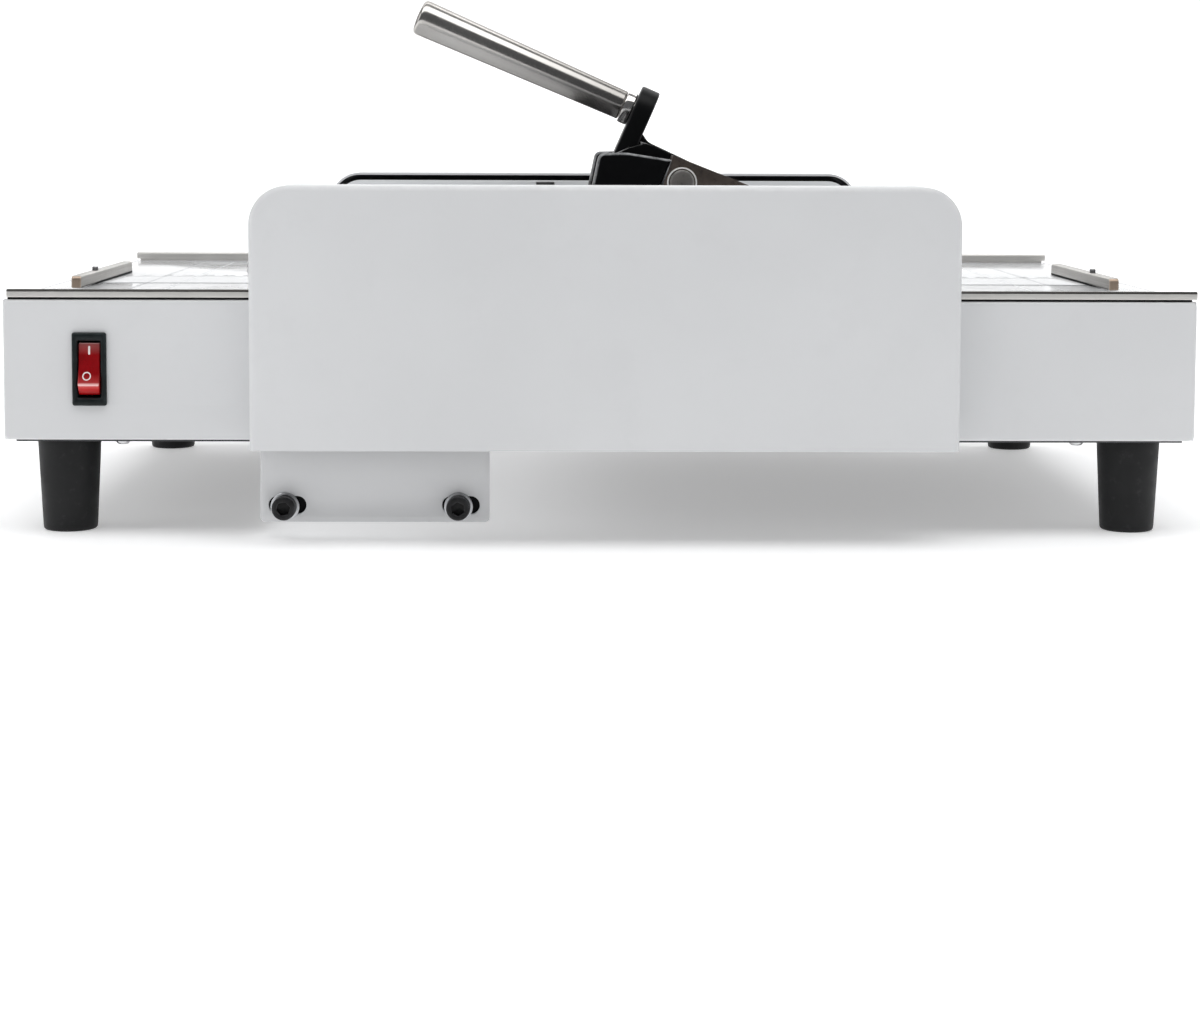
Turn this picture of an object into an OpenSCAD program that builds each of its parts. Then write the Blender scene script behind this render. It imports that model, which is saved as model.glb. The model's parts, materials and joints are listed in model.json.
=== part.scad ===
// Desk-top booklet maker: hand-lever saddle stapler and electric folding unit.
// X runs along the machine, the front faces -Y, Z is up, and Z = 0 is the desk.

/* [Body] */
// Length of the machine
body_l = 500; // [480:1:520]
// Depth over the front and rear panels
body_d = 330; // [328:1:336]
// Height of the feet
foot_h = 40; // [38.8:0.1:40.2]
// Sheet thickness of the housing
sheet = 1.2; // [1:0.1:1.4]

/* [Table] */
// Height of the table surface above the desk
table_z = 100; // [100:0.1:100.3]
// Thickness of the table boards
table_t = 5; // [4.6:0.1:5]
// Width of the fold slot
slot_w = 8; // [7.6:0.1:8]
// Height of the edge strips above the table
strip_h = 4.4; // [3:0.1:5]

/* [Covers] */
// Width of the front and rear covers
cover_w = 290; // [288:1:294]
// Height of the covers' top edge
cover_z = 148.4; // [148.2:0.1:152]
// Depth of the pan-shaped covers
cover_out = 30; // [29:0.5:32]
// Radius of the covers' top corners
cover_r = 16; // [12:0.5:20]

/* [Fold unit] */
// Position of the fold line along the machine
fold_x = -26; // [-26.2:0.1:-25.8]
// Radius of the fold rollers
roller_r = 12; // [11.8:0.05:12]
// Thickness of the fold knife
knife_t = 1.2; // [0.8:0.1:1.4]
// Travel of the fold knife
knife_travel = 28; // [20:1:28]

/* [Stapler] */
// Distance of each stapler from the middle of the machine
stapler_y = 60; // [58:0.5:62]
// Angle of the press from its lowest position to rest
lift = 12; // [11.8:0.1:12.2]
// Length of the lever grip
grip_l = 107; // [95:1:115]

/* [Paper stops] */
// Distance of the right stop's inner face from the middle
stop_x = 229; // [225:1:230]
// Length of the stop bars
stop_l = 131; // [110:1:135]

/* [Hidden] */
$fn = 64;
hl = body_l / 2;
hd = body_d / 2;
base_z = foot_h + 1.2;
cover_base = foot_h + 0.4;
// rollers
roller_z = 75;
roller_gap = 0.8;
xl = fold_x - roller_r - roller_gap / 2;
xr = fold_x + roller_r + roller_gap / 2;
roller_m = (2 * roller_r + roller_gap) / 20;
// motor shaft, one centre distance away from the driven roller
motor_x = xr + 20;
motor_z = roller_z - 7.89;
gear_a = atan2(motor_z - roller_z, motor_x - xr);
// the covers and exit brackets sit a little to the right of the middle
cover_x = 1;
// studs of the paper stops, and the slots that they run in
stud_y = -46;
// feet
foot_x = 227.6;
foot_y = 140;
// press pivot
px = 115;
pz = 119;
mag_lift = lift * 0.8;
mag_slope = 2;
// switch
sw_x = -214;
sw_z = 71;

// ---- helpers ----
module front_rear(front) { if (front) children(); else mirror([0, 1, 0]) children(); }
// extrude a side-view (X, Z) outline towards -Y from y = y1 by length t
module side(y1, t) { translate([0, y1, 0]) rotate([90, 0, 0]) linear_extrude(t) children(); }
// cylinder along Y from y0 to y1
module ycyl(r, x, z, y0, y1) { translate([x, y0, z]) rotate([-90, 0, 0]) cylinder(r = r, h = y1 - y0); }
// turn about the press pivot, up from the pressed position
module lifted(a) { translate([px, 0, pz]) rotate([0, a, 0]) translate([-px, 0, -pz]) children(); }
// sheet outline with rounded top corners and small bottom corners
module pan_outline(w, z0, z1, r, rb) {
    translate([-w / 2 + rb, z0]) square([w - 2 * rb, z1 - z0 - r]);
    translate([-w / 2, z0 + rb]) square([w, z1 - z0 - r - rb]);
    translate([-w / 2 + r, z1 - r - 1]) square([w - 2 * r, r + 1]);
    for (s = [-1, 1]) {
        translate([s * (w / 2 - r), z1 - r]) circle(r);
        translate([s * (w / 2 - rb), z0 + rb]) circle(rb);
    }
}
// involute gear outline
function inv_a(rb, r) = tan(acos(rb / r)) * 180 / PI - acos(rb / r);
function gear_pts(m, n, bl = 0.16, ka = 0.95, pa = 20, steps = 4) =
    let (rp = m * n / 2, rb = rp * cos(pa), ra = rp + ka * m, rf = rp - 1.25 * m,
         r0 = max(rb * 1.0005, rf), s = (PI * m / 2 - bl) / (2 * rp) * 180 / PI)
    [for (i = [0 : n - 1]) let (c = i * 360 / n)
        each concat(
            [[rf * cos(c - s - inv_a(rb, rp)), rf * sin(c - s - inv_a(rb, rp))]],
            [for (k = [0 : steps]) let (r = r0 + (ra - r0) * k / steps, h = s + inv_a(rb, rp) - inv_a(rb, r))
                [r * cos(c - h), r * sin(c - h)]],
            [for (k = [steps : -1 : 0]) let (r = r0 + (ra - r0) * k / steps, h = s + inv_a(rb, rp) - inv_a(rb, r))
                [r * cos(c + h), r * sin(c + h)]],
            [[rf * cos(c + s + inv_a(rb, rp)), rf * sin(c + s + inv_a(rb, rp))]])];
module gear(m, n, x, z, y0, y1, bore, turn = 0) {
    difference() {
        translate([x, y1, z]) rotate([90, 0, 0]) linear_extrude(y1 - y0) rotate(turn) polygon(gear_pts(m, n));
        ycyl(bore, x, z, y0 - 1, y1 + 1);
    }
}
// round wire swept along a helix about an axis that runs up Z
module coil(r, w, turns, h, per = 16, sides = 6) {
    n = turns * per;
    pts = [for (i = [0 : n], k = [0 : sides - 1])
        let (a = i * 360 / per, b = k * 360 / sides, rr = r + w * cos(b))
        [rr * cos(a), rr * sin(a), w + (h - 2 * w) * i / n + w * sin(b)]];
    faces = concat([[for (k = [0 : sides - 1]) k]],
        [[for (k = [sides - 1 : -1 : 0]) n * sides + k]],
        [for (i = [0 : n - 1], k = [0 : sides - 1]) let (k2 = (k + 1) % sides)
            [i * sides + k, (i + 1) * sides + k, (i + 1) * sides + k2, i * sides + k2]]);
    polyhedron(points = pts, faces = faces, convexity = 10);
}
module ruled_slot(x0, x1, y, w) {
    translate([x0, y - w / 2, table_z - table_t - 1]) cube([x1 - x0, w, table_t + 2]);
    for (x = [x0, x1]) translate([x, y, table_z - table_t - 1]) cylinder(r = w / 2, h = table_t + 2);
}

// ---- housing ----
module long_panel() {
    // seen as the front panel; the rear one is its mirror image without the switch
    translate([-hl, -hd, base_z]) cube([body_l, sheet, table_z - base_z]);
    difference() {
        translate([-hl + 2, -hd + sheet - 0.1, base_z]) cube([body_l - 4, 18, sheet]);
        translate([-104, -158.6, base_z - 1]) cube([94, 20, 4]);
        for (sx = [-1, 1], p = [[203, 150], [110, 153]])
            translate([sx * p[0], -p[1], base_z - 1]) cylinder(r = 1.6, h = 4);
    }
}
module roller_holes() {
    for (x = [xl, xr]) ycyl(10.8, x, roller_z, -hd - 1, -hd + 2);
}
module front_panel() color("white") difference() {
    long_panel();
    roller_holes();
    translate([sw_x - 6.4, -hd - 1, sw_z - 14]) cube([12.8, 4, 28]);
}
module rear_panel() color("white") mirror([0, 1, 0]) difference() {
    long_panel();
    roller_holes();
    translate([-213.8, -hd - 1, 60]) cube([27.6, 4, 20]);
}
module end_panel() {
    t = table_z - table_t;
    translate([hl - sheet, -hd + 1.4, base_z]) cube([sheet, body_d - 2.8, table_z - base_z]);
    translate([hl - 9, -hd + 4, t - 1.3]) cube([9 - sheet + 0.1, body_d - 8, sheet]);
    translate([hl - 14, -hd + 19.4, base_z]) cube([14 - sheet + 0.1, body_d - 38.8, sheet]);
}
module right_end_panel() color("white") end_panel();
module left_end_panel() color("white") mirror([1, 0, 0]) end_panel();
module base_plate() color([0.16, 0.16, 0.17]) difference() {
    translate([-hl + 4, -hd + 5, foot_h]) cube([body_l - 8, body_d - 10, 1.2]);
    translate([-104, -158.6, foot_h - 1]) cube([94, 317.2, 4]);
    for (sx = [-1, 1], sy = [-1, 1]) {
        translate([sx * foot_x, sy * foot_y, foot_h - 1]) cylinder(r = 2.6, h = 4);
        translate([sx * 203, sy * 150, foot_h - 1]) cylinder(r = 1.6, h = 4);
        translate([sx * 110, sy * 153, foot_h - 1]) cylinder(r = 1.6, h = 4);
    }
}

// ---- table ----
module left_table() color([0.95, 0.96, 0.97]) difference() {
    translate([-hl + 1.4, -hd + 3.2, table_z - table_t])
        cube([hl - 1.4 + fold_x - slot_w / 2, body_d - 6.4, table_t]);
    ruled_slot(-237, -153, stud_y, 4.4);
}
module right_table() color([0.95, 0.96, 0.97]) difference() {
    translate([fold_x + slot_w / 2, -hd + 3.2, table_z - table_t])
        cube([hl - 1.4 - fold_x - slot_w / 2, body_d - 6.4, table_t]);
    ruled_slot(153, 237, stud_y, 4.4);
    for (s = [-1, 1]) translate([-14.2, s * stapler_y - 12.2, table_z - table_t - 1]) cube([20.4, 24.4, table_t + 2]);
}
module edge_strip(short) {
    // folded strip: a rail on top of the panel with a leg down its inner side
    translate([-hl + short, -hd, table_z + 0.8]) cube([body_l - short, 3, strip_h - 0.8]);
    translate([-hl + 1.9, -hd + 1.4, table_z - 8]) cube([body_l - 3.8, 1.6, 9]);
}
module front_edge_strip() color([0.72, 0.70, 0.68]) edge_strip(1.7);
module rear_edge_strip() color([0.72, 0.70, 0.68]) mirror([0, 1, 0]) edge_strip(0);
module slot_rails() color([0.6, 0.6, 0.62]) {
    translate([fold_x - slot_w / 2 - 14, -hd + 3.3, 90]) cube([14, body_d - 6.6, 4.8]);
    translate([fold_x + slot_w / 2, -hd + 3.3, 90]) cube([29, body_d - 6.6, 4.8]);
}
module staple_anvils() color([0.5, 0.5, 0.52]) for (s = [-1, 1]) translate([0, s * stapler_y, 0]) difference() {
    translate([-14, -12, 95]) cube([20, 24, table_z - 94.8]);
    for (t = [-1, 1]) translate([-6, t * 3.6 - 3.2, table_z - 0.5]) cube([3, 6.4, 2]);
}

// ---- frame plates and covers ----
module frame_plate() {
    difference() {
        translate([cover_x, 0, 0]) {
            side(-hd - 0.2, 2) pan_outline(cover_w - 7, base_z + 0.5, cover_z - 4, 13, 1);
            for (s = [-1, 1]) {
                translate([s * 141.9 - 1.6, -hd - 2.2, 107.5]) cube([3.2, 2, 13]);
                translate([s * 142.7 - 0.8, -hd - 16.2, 107.5]) cube([1.6, 14.2, 13]);
            }
        }
        translate([cover_x, 0, 0]) for (s = [-1, 1]) {
            for (z = [104, 120.5]) translate([s * 139.5 - 2.5, -hd - 4, z]) cube([5, 6, 3.5]);
            translate([s * 138, -hd - 9, 114]) rotate([0, s * 90, 0]) cylinder(r = 1.6, h = 8);
        }
        for (x = [xl, xr]) ycyl(9.52, x, roller_z, -hd - 4, -hd + 1);
        ycyl(8.02, px, pz, -hd - 4, -hd + 1);
        translate([fold_x - 5, -hd - 4, 102]) cube([10, 6, 41.5]);
    }
}
module front_frame_plate() color([0.74, 0.75, 0.76]) frame_plate();
module rear_frame_plate() color([0.74, 0.75, 0.76]) mirror([0, 1, 0]) frame_plate();
module cover() {
    y0 = -hd - 0.2;
    translate([cover_x, 0, 0]) difference() {
        side(y0, cover_out - 0.2) pan_outline(cover_w, cover_base, cover_z, cover_r, 1.5);
        side(y0 + 1, cover_out - 0.2 - sheet + 1)
            pan_outline(cover_w - 2 * sheet, cover_base - 2, cover_z - sheet, cover_r - sheet, 0.5);
        for (s = [-1, 1]) translate([s * 142, -hd - 9, 114]) rotate([0, s * 90, 0]) cylinder(r = 2.1, h = 8);
    }
}
module front_cover() color("white") cover();
module rear_cover() color("white") mirror([0, 1, 0]) cover();
module cover_screws() for (sx = [-1, 1], sy = [-1, 1])
    translate([cover_x + sx * (cover_w / 2), sy * (hd + 9), 114]) rotate([0, sx * 90, 0]) {
        difference() {
            rotate_extrude() polygon([[0, 0.1], [4.2, 0.1], [4.2, 1], [3.6, 1.9], [2.2, 2.5], [0, 2.6]]);
            translate([0, 0, 1.4]) { cube([3.6, 0.9, 3], center = true); cube([0.9, 3.6, 3], center = true); }
        }
        translate([0, 0, -7]) cylinder(r = 1.5, h = 7.2);
    }

// ---- exit ----
module exit_bracket() difference() {
    side(-hd - 2.3, 1.6) translate([-142.6, 7.2]) {
        translate([1, 0]) square([93.7, 50]);
        translate([0, 1]) square([95.7, 49]);
        for (x = [1, 94.7]) translate([x, 1]) circle(1);
    }
    for (x = [-131.4, -58.9]) {
        for (d = [-4.1, 4.1]) ycyl(3.75, x + d, 14.4, -hd - 5, -hd - 1);
        translate([x - 4.1, -hd - 5, 14.4 - 3.75]) cube([8.2, 4, 7.5]);
    }
}
module front_exit_bracket() color([0.66, 0.66, 0.67]) exit_bracket();
module rear_exit_bracket() color([0.66, 0.66, 0.67]) mirror([0, 1, 0]) exit_bracket();
module exit_chute() color([0.62, 0.63, 0.64]) {
    // floor: inside run under the rollers, ramp through the base, flat outside tray
    side(158, 316) polygon([[-13, 57], [-50, 37.5], [-94, 12.4], [-143, 9.4],
        [-143, 8], [-94.4, 11], [-50.6, 36.2], [-12.4, 55.8]]);
    for (s = [-1, 1]) difference() {
        union() {
            side(s > 0 ? hd + 1.9 : -hd - 0.3, 1.6) polygon([[-143, 8], [-94.4, 11], [-52, 35.2], [-52, 38], [-70, 38], [-106, 24], [-143, 24]]);
            side(s > 0 ? hd + 0.5 : -158, 7.5) polygon([[-143, 8], [-94.4, 11], [-56, 33], [-56, 34.4], [-94, 12.4], [-143, 9.4]]);
        }
        for (x = [-131.4, -58.9]) ycyl(3.2, x - 1, 13.8, -hd - 4, hd + 4);
        ycyl(6, -132.4, 13.8, s > 0 ? 158.2 : -165.1, s > 0 ? 165.1 : -158.2);
    }
}
module bracket_bolts() color([0.13, 0.13, 0.13]) for (sy = [-1, 1], x = [-132.4, -59.9]) {
    s = sy;
    translate([x, s * (hd + 3.95), 13.8]) rotate([s > 0 ? -90 : 90, 0, 0]) {
        difference() {
            cylinder(r = 6, h = 1.2);
            translate([0, 0, -1]) cylinder(r = 3.05, h = 4);
        }
        difference() {
            union() {
                translate([0, 0, 1.25]) cylinder(r = 5, h = 6);
                translate([0, 0, -8.4]) cylinder(r = 3, h = 9.7);
            }
            translate([0, 0, 4.25]) cylinder(r = 2.9, h = 4, $fn = 6);
        }
        difference() {
            translate([0, 0, -8.3]) cylinder(r = 5.7, h = 4.3, $fn = 6);
            translate([0, 0, -9]) cylinder(r = 3.05, h = 7);
        }
    }
}
module feet() color([0.08, 0.08, 0.085]) for (sx = [-1, 1], sy = [-1, 1]) translate([sx * foot_x, sy * foot_y, 0])
    difference() {
        cylinder(r1 = 11.4, r2 = 13.4, h = foot_h - 0.02);
        translate([0, 0, -1]) cylinder(r = 5.5, h = 9);
        translate([0, 0, -1]) cylinder(r = 2.6, h = 50);
    }
module base_screws() for (sx = [-1, 1], sy = [-1, 1]) {
    translate([sx * foot_x, sy * foot_y, 5.6]) {
        rotate_extrude() polygon([[0, 0], [3.4, 0], [4.4, 1], [4.4, 2.4], [0, 2.4]]);
        translate([0, 0, 2.3]) cylinder(r = 2.45, h = 38.6);
    }
    for (p = [[203, 150], [110, 153]]) translate([sx * p[0], sy * p[1], foot_h]) {
        rotate_extrude() polygon([[0, -2.3], [1.4, -2.2], [2.6, -1.5], [3, -0.7], [3, -0.02], [0, -0.02]]);
        translate([0, 0, -0.1]) cylinder(r = 1.45, h = 2.2);
    }
}

module housing_screws() color([0.75, 0.75, 0.75]) {
    cover_screws();
    base_screws();
}

// ---- press pivot ----
module press_shaft() color([0.75, 0.75, 0.76]) ycyl(8, px, pz, -hd - 2.8, hd + 2.8);
module shaft_bushes() color([0.1, 0.1, 0.1]) for (s = [-1, 1]) {
    y0 = s > 0 ? 152 : -hd - 0.1;
    difference() {
        union() { ycyl(12.5, px, pz, y0, y0 + 13.1); }
        ycyl(8.02, px, pz, y0 - 1, y0 + 15);
    }
}
module press_springs() color([0.45, 0.45, 0.47]) for (s = [-1, 1])
    translate([px, s > 0 ? 76 : -98, pz]) rotate([-90, 0, 0]) coil(10.6, 1.1, 6, 22);
module press_channel(y0) {
    // gunmetal channel: two cheeks joined by a sloping web, on the shaft at the rear
    difference() {
        union() {
            side(y0 + 11.6, 23.2) {
                polygon([[33.7, 160.2], [118, 127], [125, 119], [115, 106.6], [109, 107.9], [24.9, 134.2]]);
                translate([px, pz]) circle(12.5);
            }
            ycyl(12.5, px, pz, y0 - 13.5, y0 + 13.5);
        }
        side(y0 + 9.6, 19.2) polygon([[20, 163.4], [107, 129.1], [140, 129.1], [140, 90], [20, 90]]);
        ycyl(8.06, px, pz, y0 - 20, y0 + 20);
        ycyl(4.05, 37.7, 147.9, y0 - 20, y0 + 20);
    }
}
module front_press_channel() color([0.33, 0.31, 0.29]) press_channel(-stapler_y);
module rear_press_channel() color([0.33, 0.31, 0.29]) press_channel(stapler_y);
module stapler_head(y0) {
    difference() {
        union() {
            side(y0 + 12, 24) polygon([[-4.9, 143.6], [-1.4, 158.8], [1, 161.2], [20, 160.6], [33.1, 158.2], [25.9, 137.2], [24.4, 137.3]]);
            side(y0 + 9.4, 18.8) polygon([[24, 137.4], [30, 157.4], [33.5, 157.4], [45.5, 152.6], [44, 136], [36, 134.6]]);
        }
        side(y0 + 13, 26) polygon([[25.2, 134.6], [34.5, 161.6], [40, 158], [30, 130]]);
        ycyl(4.05, 37.7, 147.9, y0 - 20, y0 + 20);
    }
    difference() {
        side(y0 + 9.4, 18.8) polygon([[24, 137.4], [30, 157.4], [33.5, 157.4], [45.5, 152.6], [44, 136], [36, 134.6]]);
        ycyl(4.05, 37.7, 147.9, y0 - 20, y0 + 20);
    }
}
module front_stapler_head() color([0.09, 0.09, 0.1]) stapler_head(-stapler_y);
module rear_stapler_head() color([0.09, 0.09, 0.1]) stapler_head(stapler_y);
module head_pins() color([0.42, 0.41, 0.4]) for (y0 = [-stapler_y, stapler_y]) {
    ycyl(4, 37.7, 147.9, y0 - 12.6, y0 + 12.6);
    for (s = [-1, 1]) {
        ycyl(5.6, 37.7, 147.9, s > 0 ? y0 + 12.5 : y0 - 13.7, s > 0 ? y0 + 13.7 : y0 - 12.5);
        difference() {
            ycyl(6.8, 37.7, 147.9, s > 0 ? y0 + 11.65 : y0 - 12.45, s > 0 ? y0 + 12.45 : y0 - 11.65);
            ycyl(4.02, 37.7, 147.9, y0 - 20, y0 + 20);
        }
    }
}
module staple_drivers() color([0.6, 0.6, 0.6]) for (y0 = [-stapler_y, stapler_y])
    lifted(lift) translate([-5, y0 - 5.9, 102.8]) cube([1, 11.8, 15.1]);
// lever: arm across the grip, and a sloping bridge between the two channels
module lever_arm() color([0.07, 0.07, 0.075]) difference() {
    union() {
        translate([21.2, 0, 179.7]) rotate([0, 23.8, 0]) {
            translate([-4.5, -12.5, -34]) cube([9, 25, 34]);
            translate([-4.5, 0, 0]) rotate([0, 90, 0]) cylinder(r = 12.5, h = 9);
        }
        difference() {
            side(stapler_y - 12.1, 2 * stapler_y - 24.2)
                polygon([[4.5, 152], [8, 160.4], [14, 163.2], [22, 165.6], [58, 149.6], [55.6, 144.2], [9, 149]]);
            for (s = [-1, 1]) ycyl(7, 37.7, 147.9, s > 0 ? stapler_y - 13.8 : -stapler_y + 11, s > 0 ? stapler_y - 11 : -stapler_y + 13.8);
        }
        side(3.5, 7) polygon([[16, 165], [22.6, 173.6], [25.8, 165.6], [45, 156.6], [40, 150]]);
    }
    translate([21.2, 0, 179.7]) rotate([0, 23.8, 0]) translate([-10, 0, 0]) rotate([0, 90, 0]) cylinder(r = 4.02, h = 20);
}
module along_grip() { translate([16.9, 0, 181.6]) rotate([0, -66.65, 0]) children(); }
module lever_collar() color([0.8, 0.8, 0.79]) along_grip() difference() {
    union() {
        cylinder(r = 8.1, h = 4.9);
        translate([0, 0, -9.4]) cylinder(r = 4, h = 9.5);
    }
    translate([0, 0, -12]) cylinder(r = 1, h = 1);
}
module lever_grip() color([0.75, 0.73, 0.7]) along_grip() translate([0, 0, 5]) rotate_extrude()
    polygon([[0, 0], [6.6, 0], [7, 0.5], [8.62, grip_l - 1.6], [8.2, grip_l - 0.7], [6.4, grip_l - 0.1], [0, grip_l + 0.3]]);

// ---- magazines: drawn in the pressed position, then lifted ----
module mag_frame(y0) lifted(mag_lift) translate([-7.2, y0, 102.2]) rotate([0, -mag_slope, 0]) children();
module magazine(y0) mag_frame(y0) {
    translate([3.4, -7.5, 0]) cube([104, 15, 1]);
    translate([0, -7.5, 0]) cube([1, 15, 13]);
    for (s = [-1, 1]) difference() {
        translate([0, s > 0 ? 8 : -7, 0]) rotate([90, 0, 0]) linear_extrude(1) {
            polygon([[0, 0], [112, 0], [122, 2.2], [122, 22], [112, 13], [0, 13]]);
            translate([122.7, 12.5]) circle(9.8);
        }
        translate([122.7, 20, 12.5]) rotate([90, 0, 0]) cylinder(r = 8.06, h = 40);
    }
}
module front_magazine() color([0.78, 0.78, 0.78]) magazine(-stapler_y);
module rear_magazine() color([0.78, 0.78, 0.78]) magazine(stapler_y);
module pusher(y0) mag_frame(y0) difference() {
    translate([6, -6.6, 1.4]) cube([13, 13.2, 9]);
    translate([10, -2.5, -1]) cube([5, 5, 8]);
}
module front_pusher() color([0.15, 0.15, 0.15]) pusher(-stapler_y);
module rear_pusher() color([0.15, 0.15, 0.15]) pusher(stapler_y);

// ---- fold knife ----
module fold_knife() color([0.8, 0.8, 0.82]) translate([fold_x - knife_t / 2, -149.8, 107]) {
    translate([0, 0, 1.5]) cube([knife_t, 299.6, 28.4]);
    translate([knife_t * 0.25, 0, 0]) cube([knife_t * 0.5, 299.6, 1.6]);
}
module knife_carrier() color([0.55, 0.56, 0.58]) difference() {
    union() {
        translate([fold_x - 4, -156, 129]) cube([8, 312, 13]);
        for (s = [-1, 1]) {
            translate([fold_x - 4, s > 0 ? 155 : -175, 134]) cube([8, 20, 8]);
            translate([fold_x - 8, s > 0 ? 172 : -188, 134]) cube([16, 16, 8]);
        }
    }
    translate([fold_x - knife_t / 2 - 0.02, -150.2, 128]) cube([knife_t + 0.04, 300.4, 9]);
    for (s = [-1, 1]) translate([fold_x, s * 180, 130]) cylinder(r = 4.02, h = 20);
}
module solenoid_plungers() color([0.7, 0.7, 0.72]) for (s = [-1, 1]) translate([fold_x, s * 180, 74]) {
    cylinder(r = 4, h = 68);
    translate([0, 0, 68]) cylinder(r = 5.5, h = 2);
}
module solenoids() color([0.25, 0.25, 0.28]) for (s = [-1, 1]) translate([fold_x, s * 180, 0]) difference() {
    union() {
        translate([-15, -10, 44]) cube([30, 20, 54]);
        for (x = [-11.5, 11.5], z = [49, 94]) ycyl(2.5, x, z, s > 0 ? -12.75 : 9.5, s > 0 ? -9.5 : 12.75);
    }
    translate([0, 0, 40]) cylinder(r = 4.35, h = 60);
}
module knife_springs() color([0.6, 0.6, 0.62]) for (s = [-1, 1]) translate([fold_x, s * 180, 98.1]) coil(6.4, 0.5, 7, 35.7);

// ---- rollers and drive ----
module roller_shaft(x, y0) {
    ycyl(5, x, roller_z, y0, 169);
    ycyl(8, x, roller_z, -149, 149);
}
module left_roller_shaft() color([0.7, 0.7, 0.72]) roller_shaft(xl, -169);
module right_roller_shaft() color([0.7, 0.7, 0.72]) roller_shaft(xr, -169);
module roller_sleeve(x) difference() {
    ycyl(roller_r, x, roller_z, -148.5, 148.5);
    ycyl(8.02, x, roller_z, -150, 150);
}
module left_roller_sleeve() color([0.2, 0.2, 0.22]) roller_sleeve(xl);
module right_roller_sleeve() color([0.2, 0.2, 0.22]) roller_sleeve(xr);
module left_roller_gear() color([0.85, 0.83, 0.76]) gear(roller_m, 20, xl, roller_z, -155.6, -150.6, 5.02, 9);
module right_roller_gear() color([0.85, 0.83, 0.76]) gear(roller_m, 20, xr, roller_z, -155.6, -150.6, 5.02, 0);
module drive_gear() color([0.5, 0.5, 0.52]) gear(1, 26, xr, roller_z, -161.6, -156.6, 5.02, gear_a);
module motor_pinion() color([0.6, 0.6, 0.62]) {
    gear(1, 17, motor_x, motor_z, -162, -156.2, 2.5, gear_a + 180 + 180 / 17);
    ycyl(3, motor_x, motor_z, -162.4, -135);
}
module roller_bearings() color([0.7, 0.7, 0.72]) for (s = [-1, 1], x = [xl, xr]) difference() {
    union() {
        ycyl(9.5, x, roller_z, s > 0 ? hd - 1.2 : -hd - 3.6, s > 0 ? hd + 3.6 : -hd + 1.2);
        ycyl(10.5, x, roller_z, s > 0 ? hd + 2.3 : -hd - 3.6, s > 0 ? hd + 3.6 : -hd - 2.3);
    }
    ycyl(5.06, x, roller_z, -hd - 10, hd + 10);
}
module gearmotor() color([0.5, 0.52, 0.54]) difference() {
    union() {
        translate([1, -148, 48]) cube([40, 27, 40]);
        ycyl(19, 21, 68, -122, -62);
        ycyl(7, 21, 68, -62, -58);
        for (z = [52, 84]) ycyl(3, 37, z, -hd + 1.3, -147.5);
        translate([5, -118, base_z]) cube([32, 50, 10]);
    }
    ycyl(3.05, motor_x, motor_z, -150, -134);
}

// ---- electrics ----
module switch_housing() color([0.06, 0.06, 0.065]) difference() {
    union() {
        translate([sw_x - 7.15, -hd - 2, sw_z - 15.35]) cube([14.3, 1.95, 30.7]);
        translate([sw_x - 6.2, -hd - 0.1, sw_z - 13.6]) cube([12.4, 20, 27.2]);
    }
    translate([sw_x - 4.7, -hd - 3, sw_z - 11.8]) cube([9.4, 13, 23.6]);
}
// rocker turned about a line along X just behind the panel
module rocker() color([0.75, 0.04, 0.05]) translate([sw_x, -hd + 3.4, sw_z]) difference() {
    rotate([0, -90, 0]) translate([0, 0, -4.4]) linear_extrude(8.8)
        polygon([[11, 0.5], [11, -3.4], [2, -4.4], [-6.2, -7.3], [-10, -7], [-10.8, -3.6], [-2, 3.2], [2, 3.2]]);
    translate([-6, 0, 0]) rotate([0, 90, 0]) cylinder(r = 0.9, h = 12);
}
module power_inlet() color([0.07, 0.07, 0.07]) {
    difference() {
        union() {
            translate([-225, hd + 0.05, 57.5]) cube([50, 2.6, 25]);
            translate([-213.6, hd - 21, 60.2]) cube([27.2, 22, 19.6]);
        }
        translate([-212, hd - 16, 62]) cube([24, 20, 16]);
        for (x = [-220, -180]) ycyl(1.7, x, 70, hd - 1, hd + 4);
    }
    for (p = [[-200, 72.8], [-207, 67.4], [-193, 67.4]]) translate([p[0] - 1, hd - 16.5, p[1] - 2]) cube([2, 13, 4]);
}
module rating_plate() color([0.78, 0.79, 0.8]) translate([148, hd + 0.02, 42]) cube([101.4, 0.4, 57]);

// ---- paper stops ----
module stop_bar(x) difference() {
    translate([x, stud_y - 45, table_z + 0.3]) cube([4.6, stop_l, 5.5]);
    translate([x + 2.3, stud_y, table_z - 1]) cylinder(r = 1.52, h = 12);
}
module stop_screw(x) translate([x + 2.3, stud_y, 0]) {
    translate([0, 0, table_z - 5]) cylinder(r = 1.5, h = 12.6);
    translate([0, 0, table_z - table_t - 5]) cylinder(r = 2, h = table_t + 5.2);
    translate([-6, -5, table_z - table_t - 4]) cube([12, 10, 3.6]);
}
module left_stop_bar() color([0.6, 0.58, 0.55]) mirror([1, 0, 0]) stop_bar(stop_x + 2.3);
module right_stop_bar() color([0.6, 0.58, 0.55]) stop_bar(stop_x);
module left_stop_screw() color([0.7, 0.7, 0.7]) mirror([1, 0, 0]) stop_screw(stop_x + 2.3);
module right_stop_screw() color([0.7, 0.7, 0.7]) stop_screw(stop_x);

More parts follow.
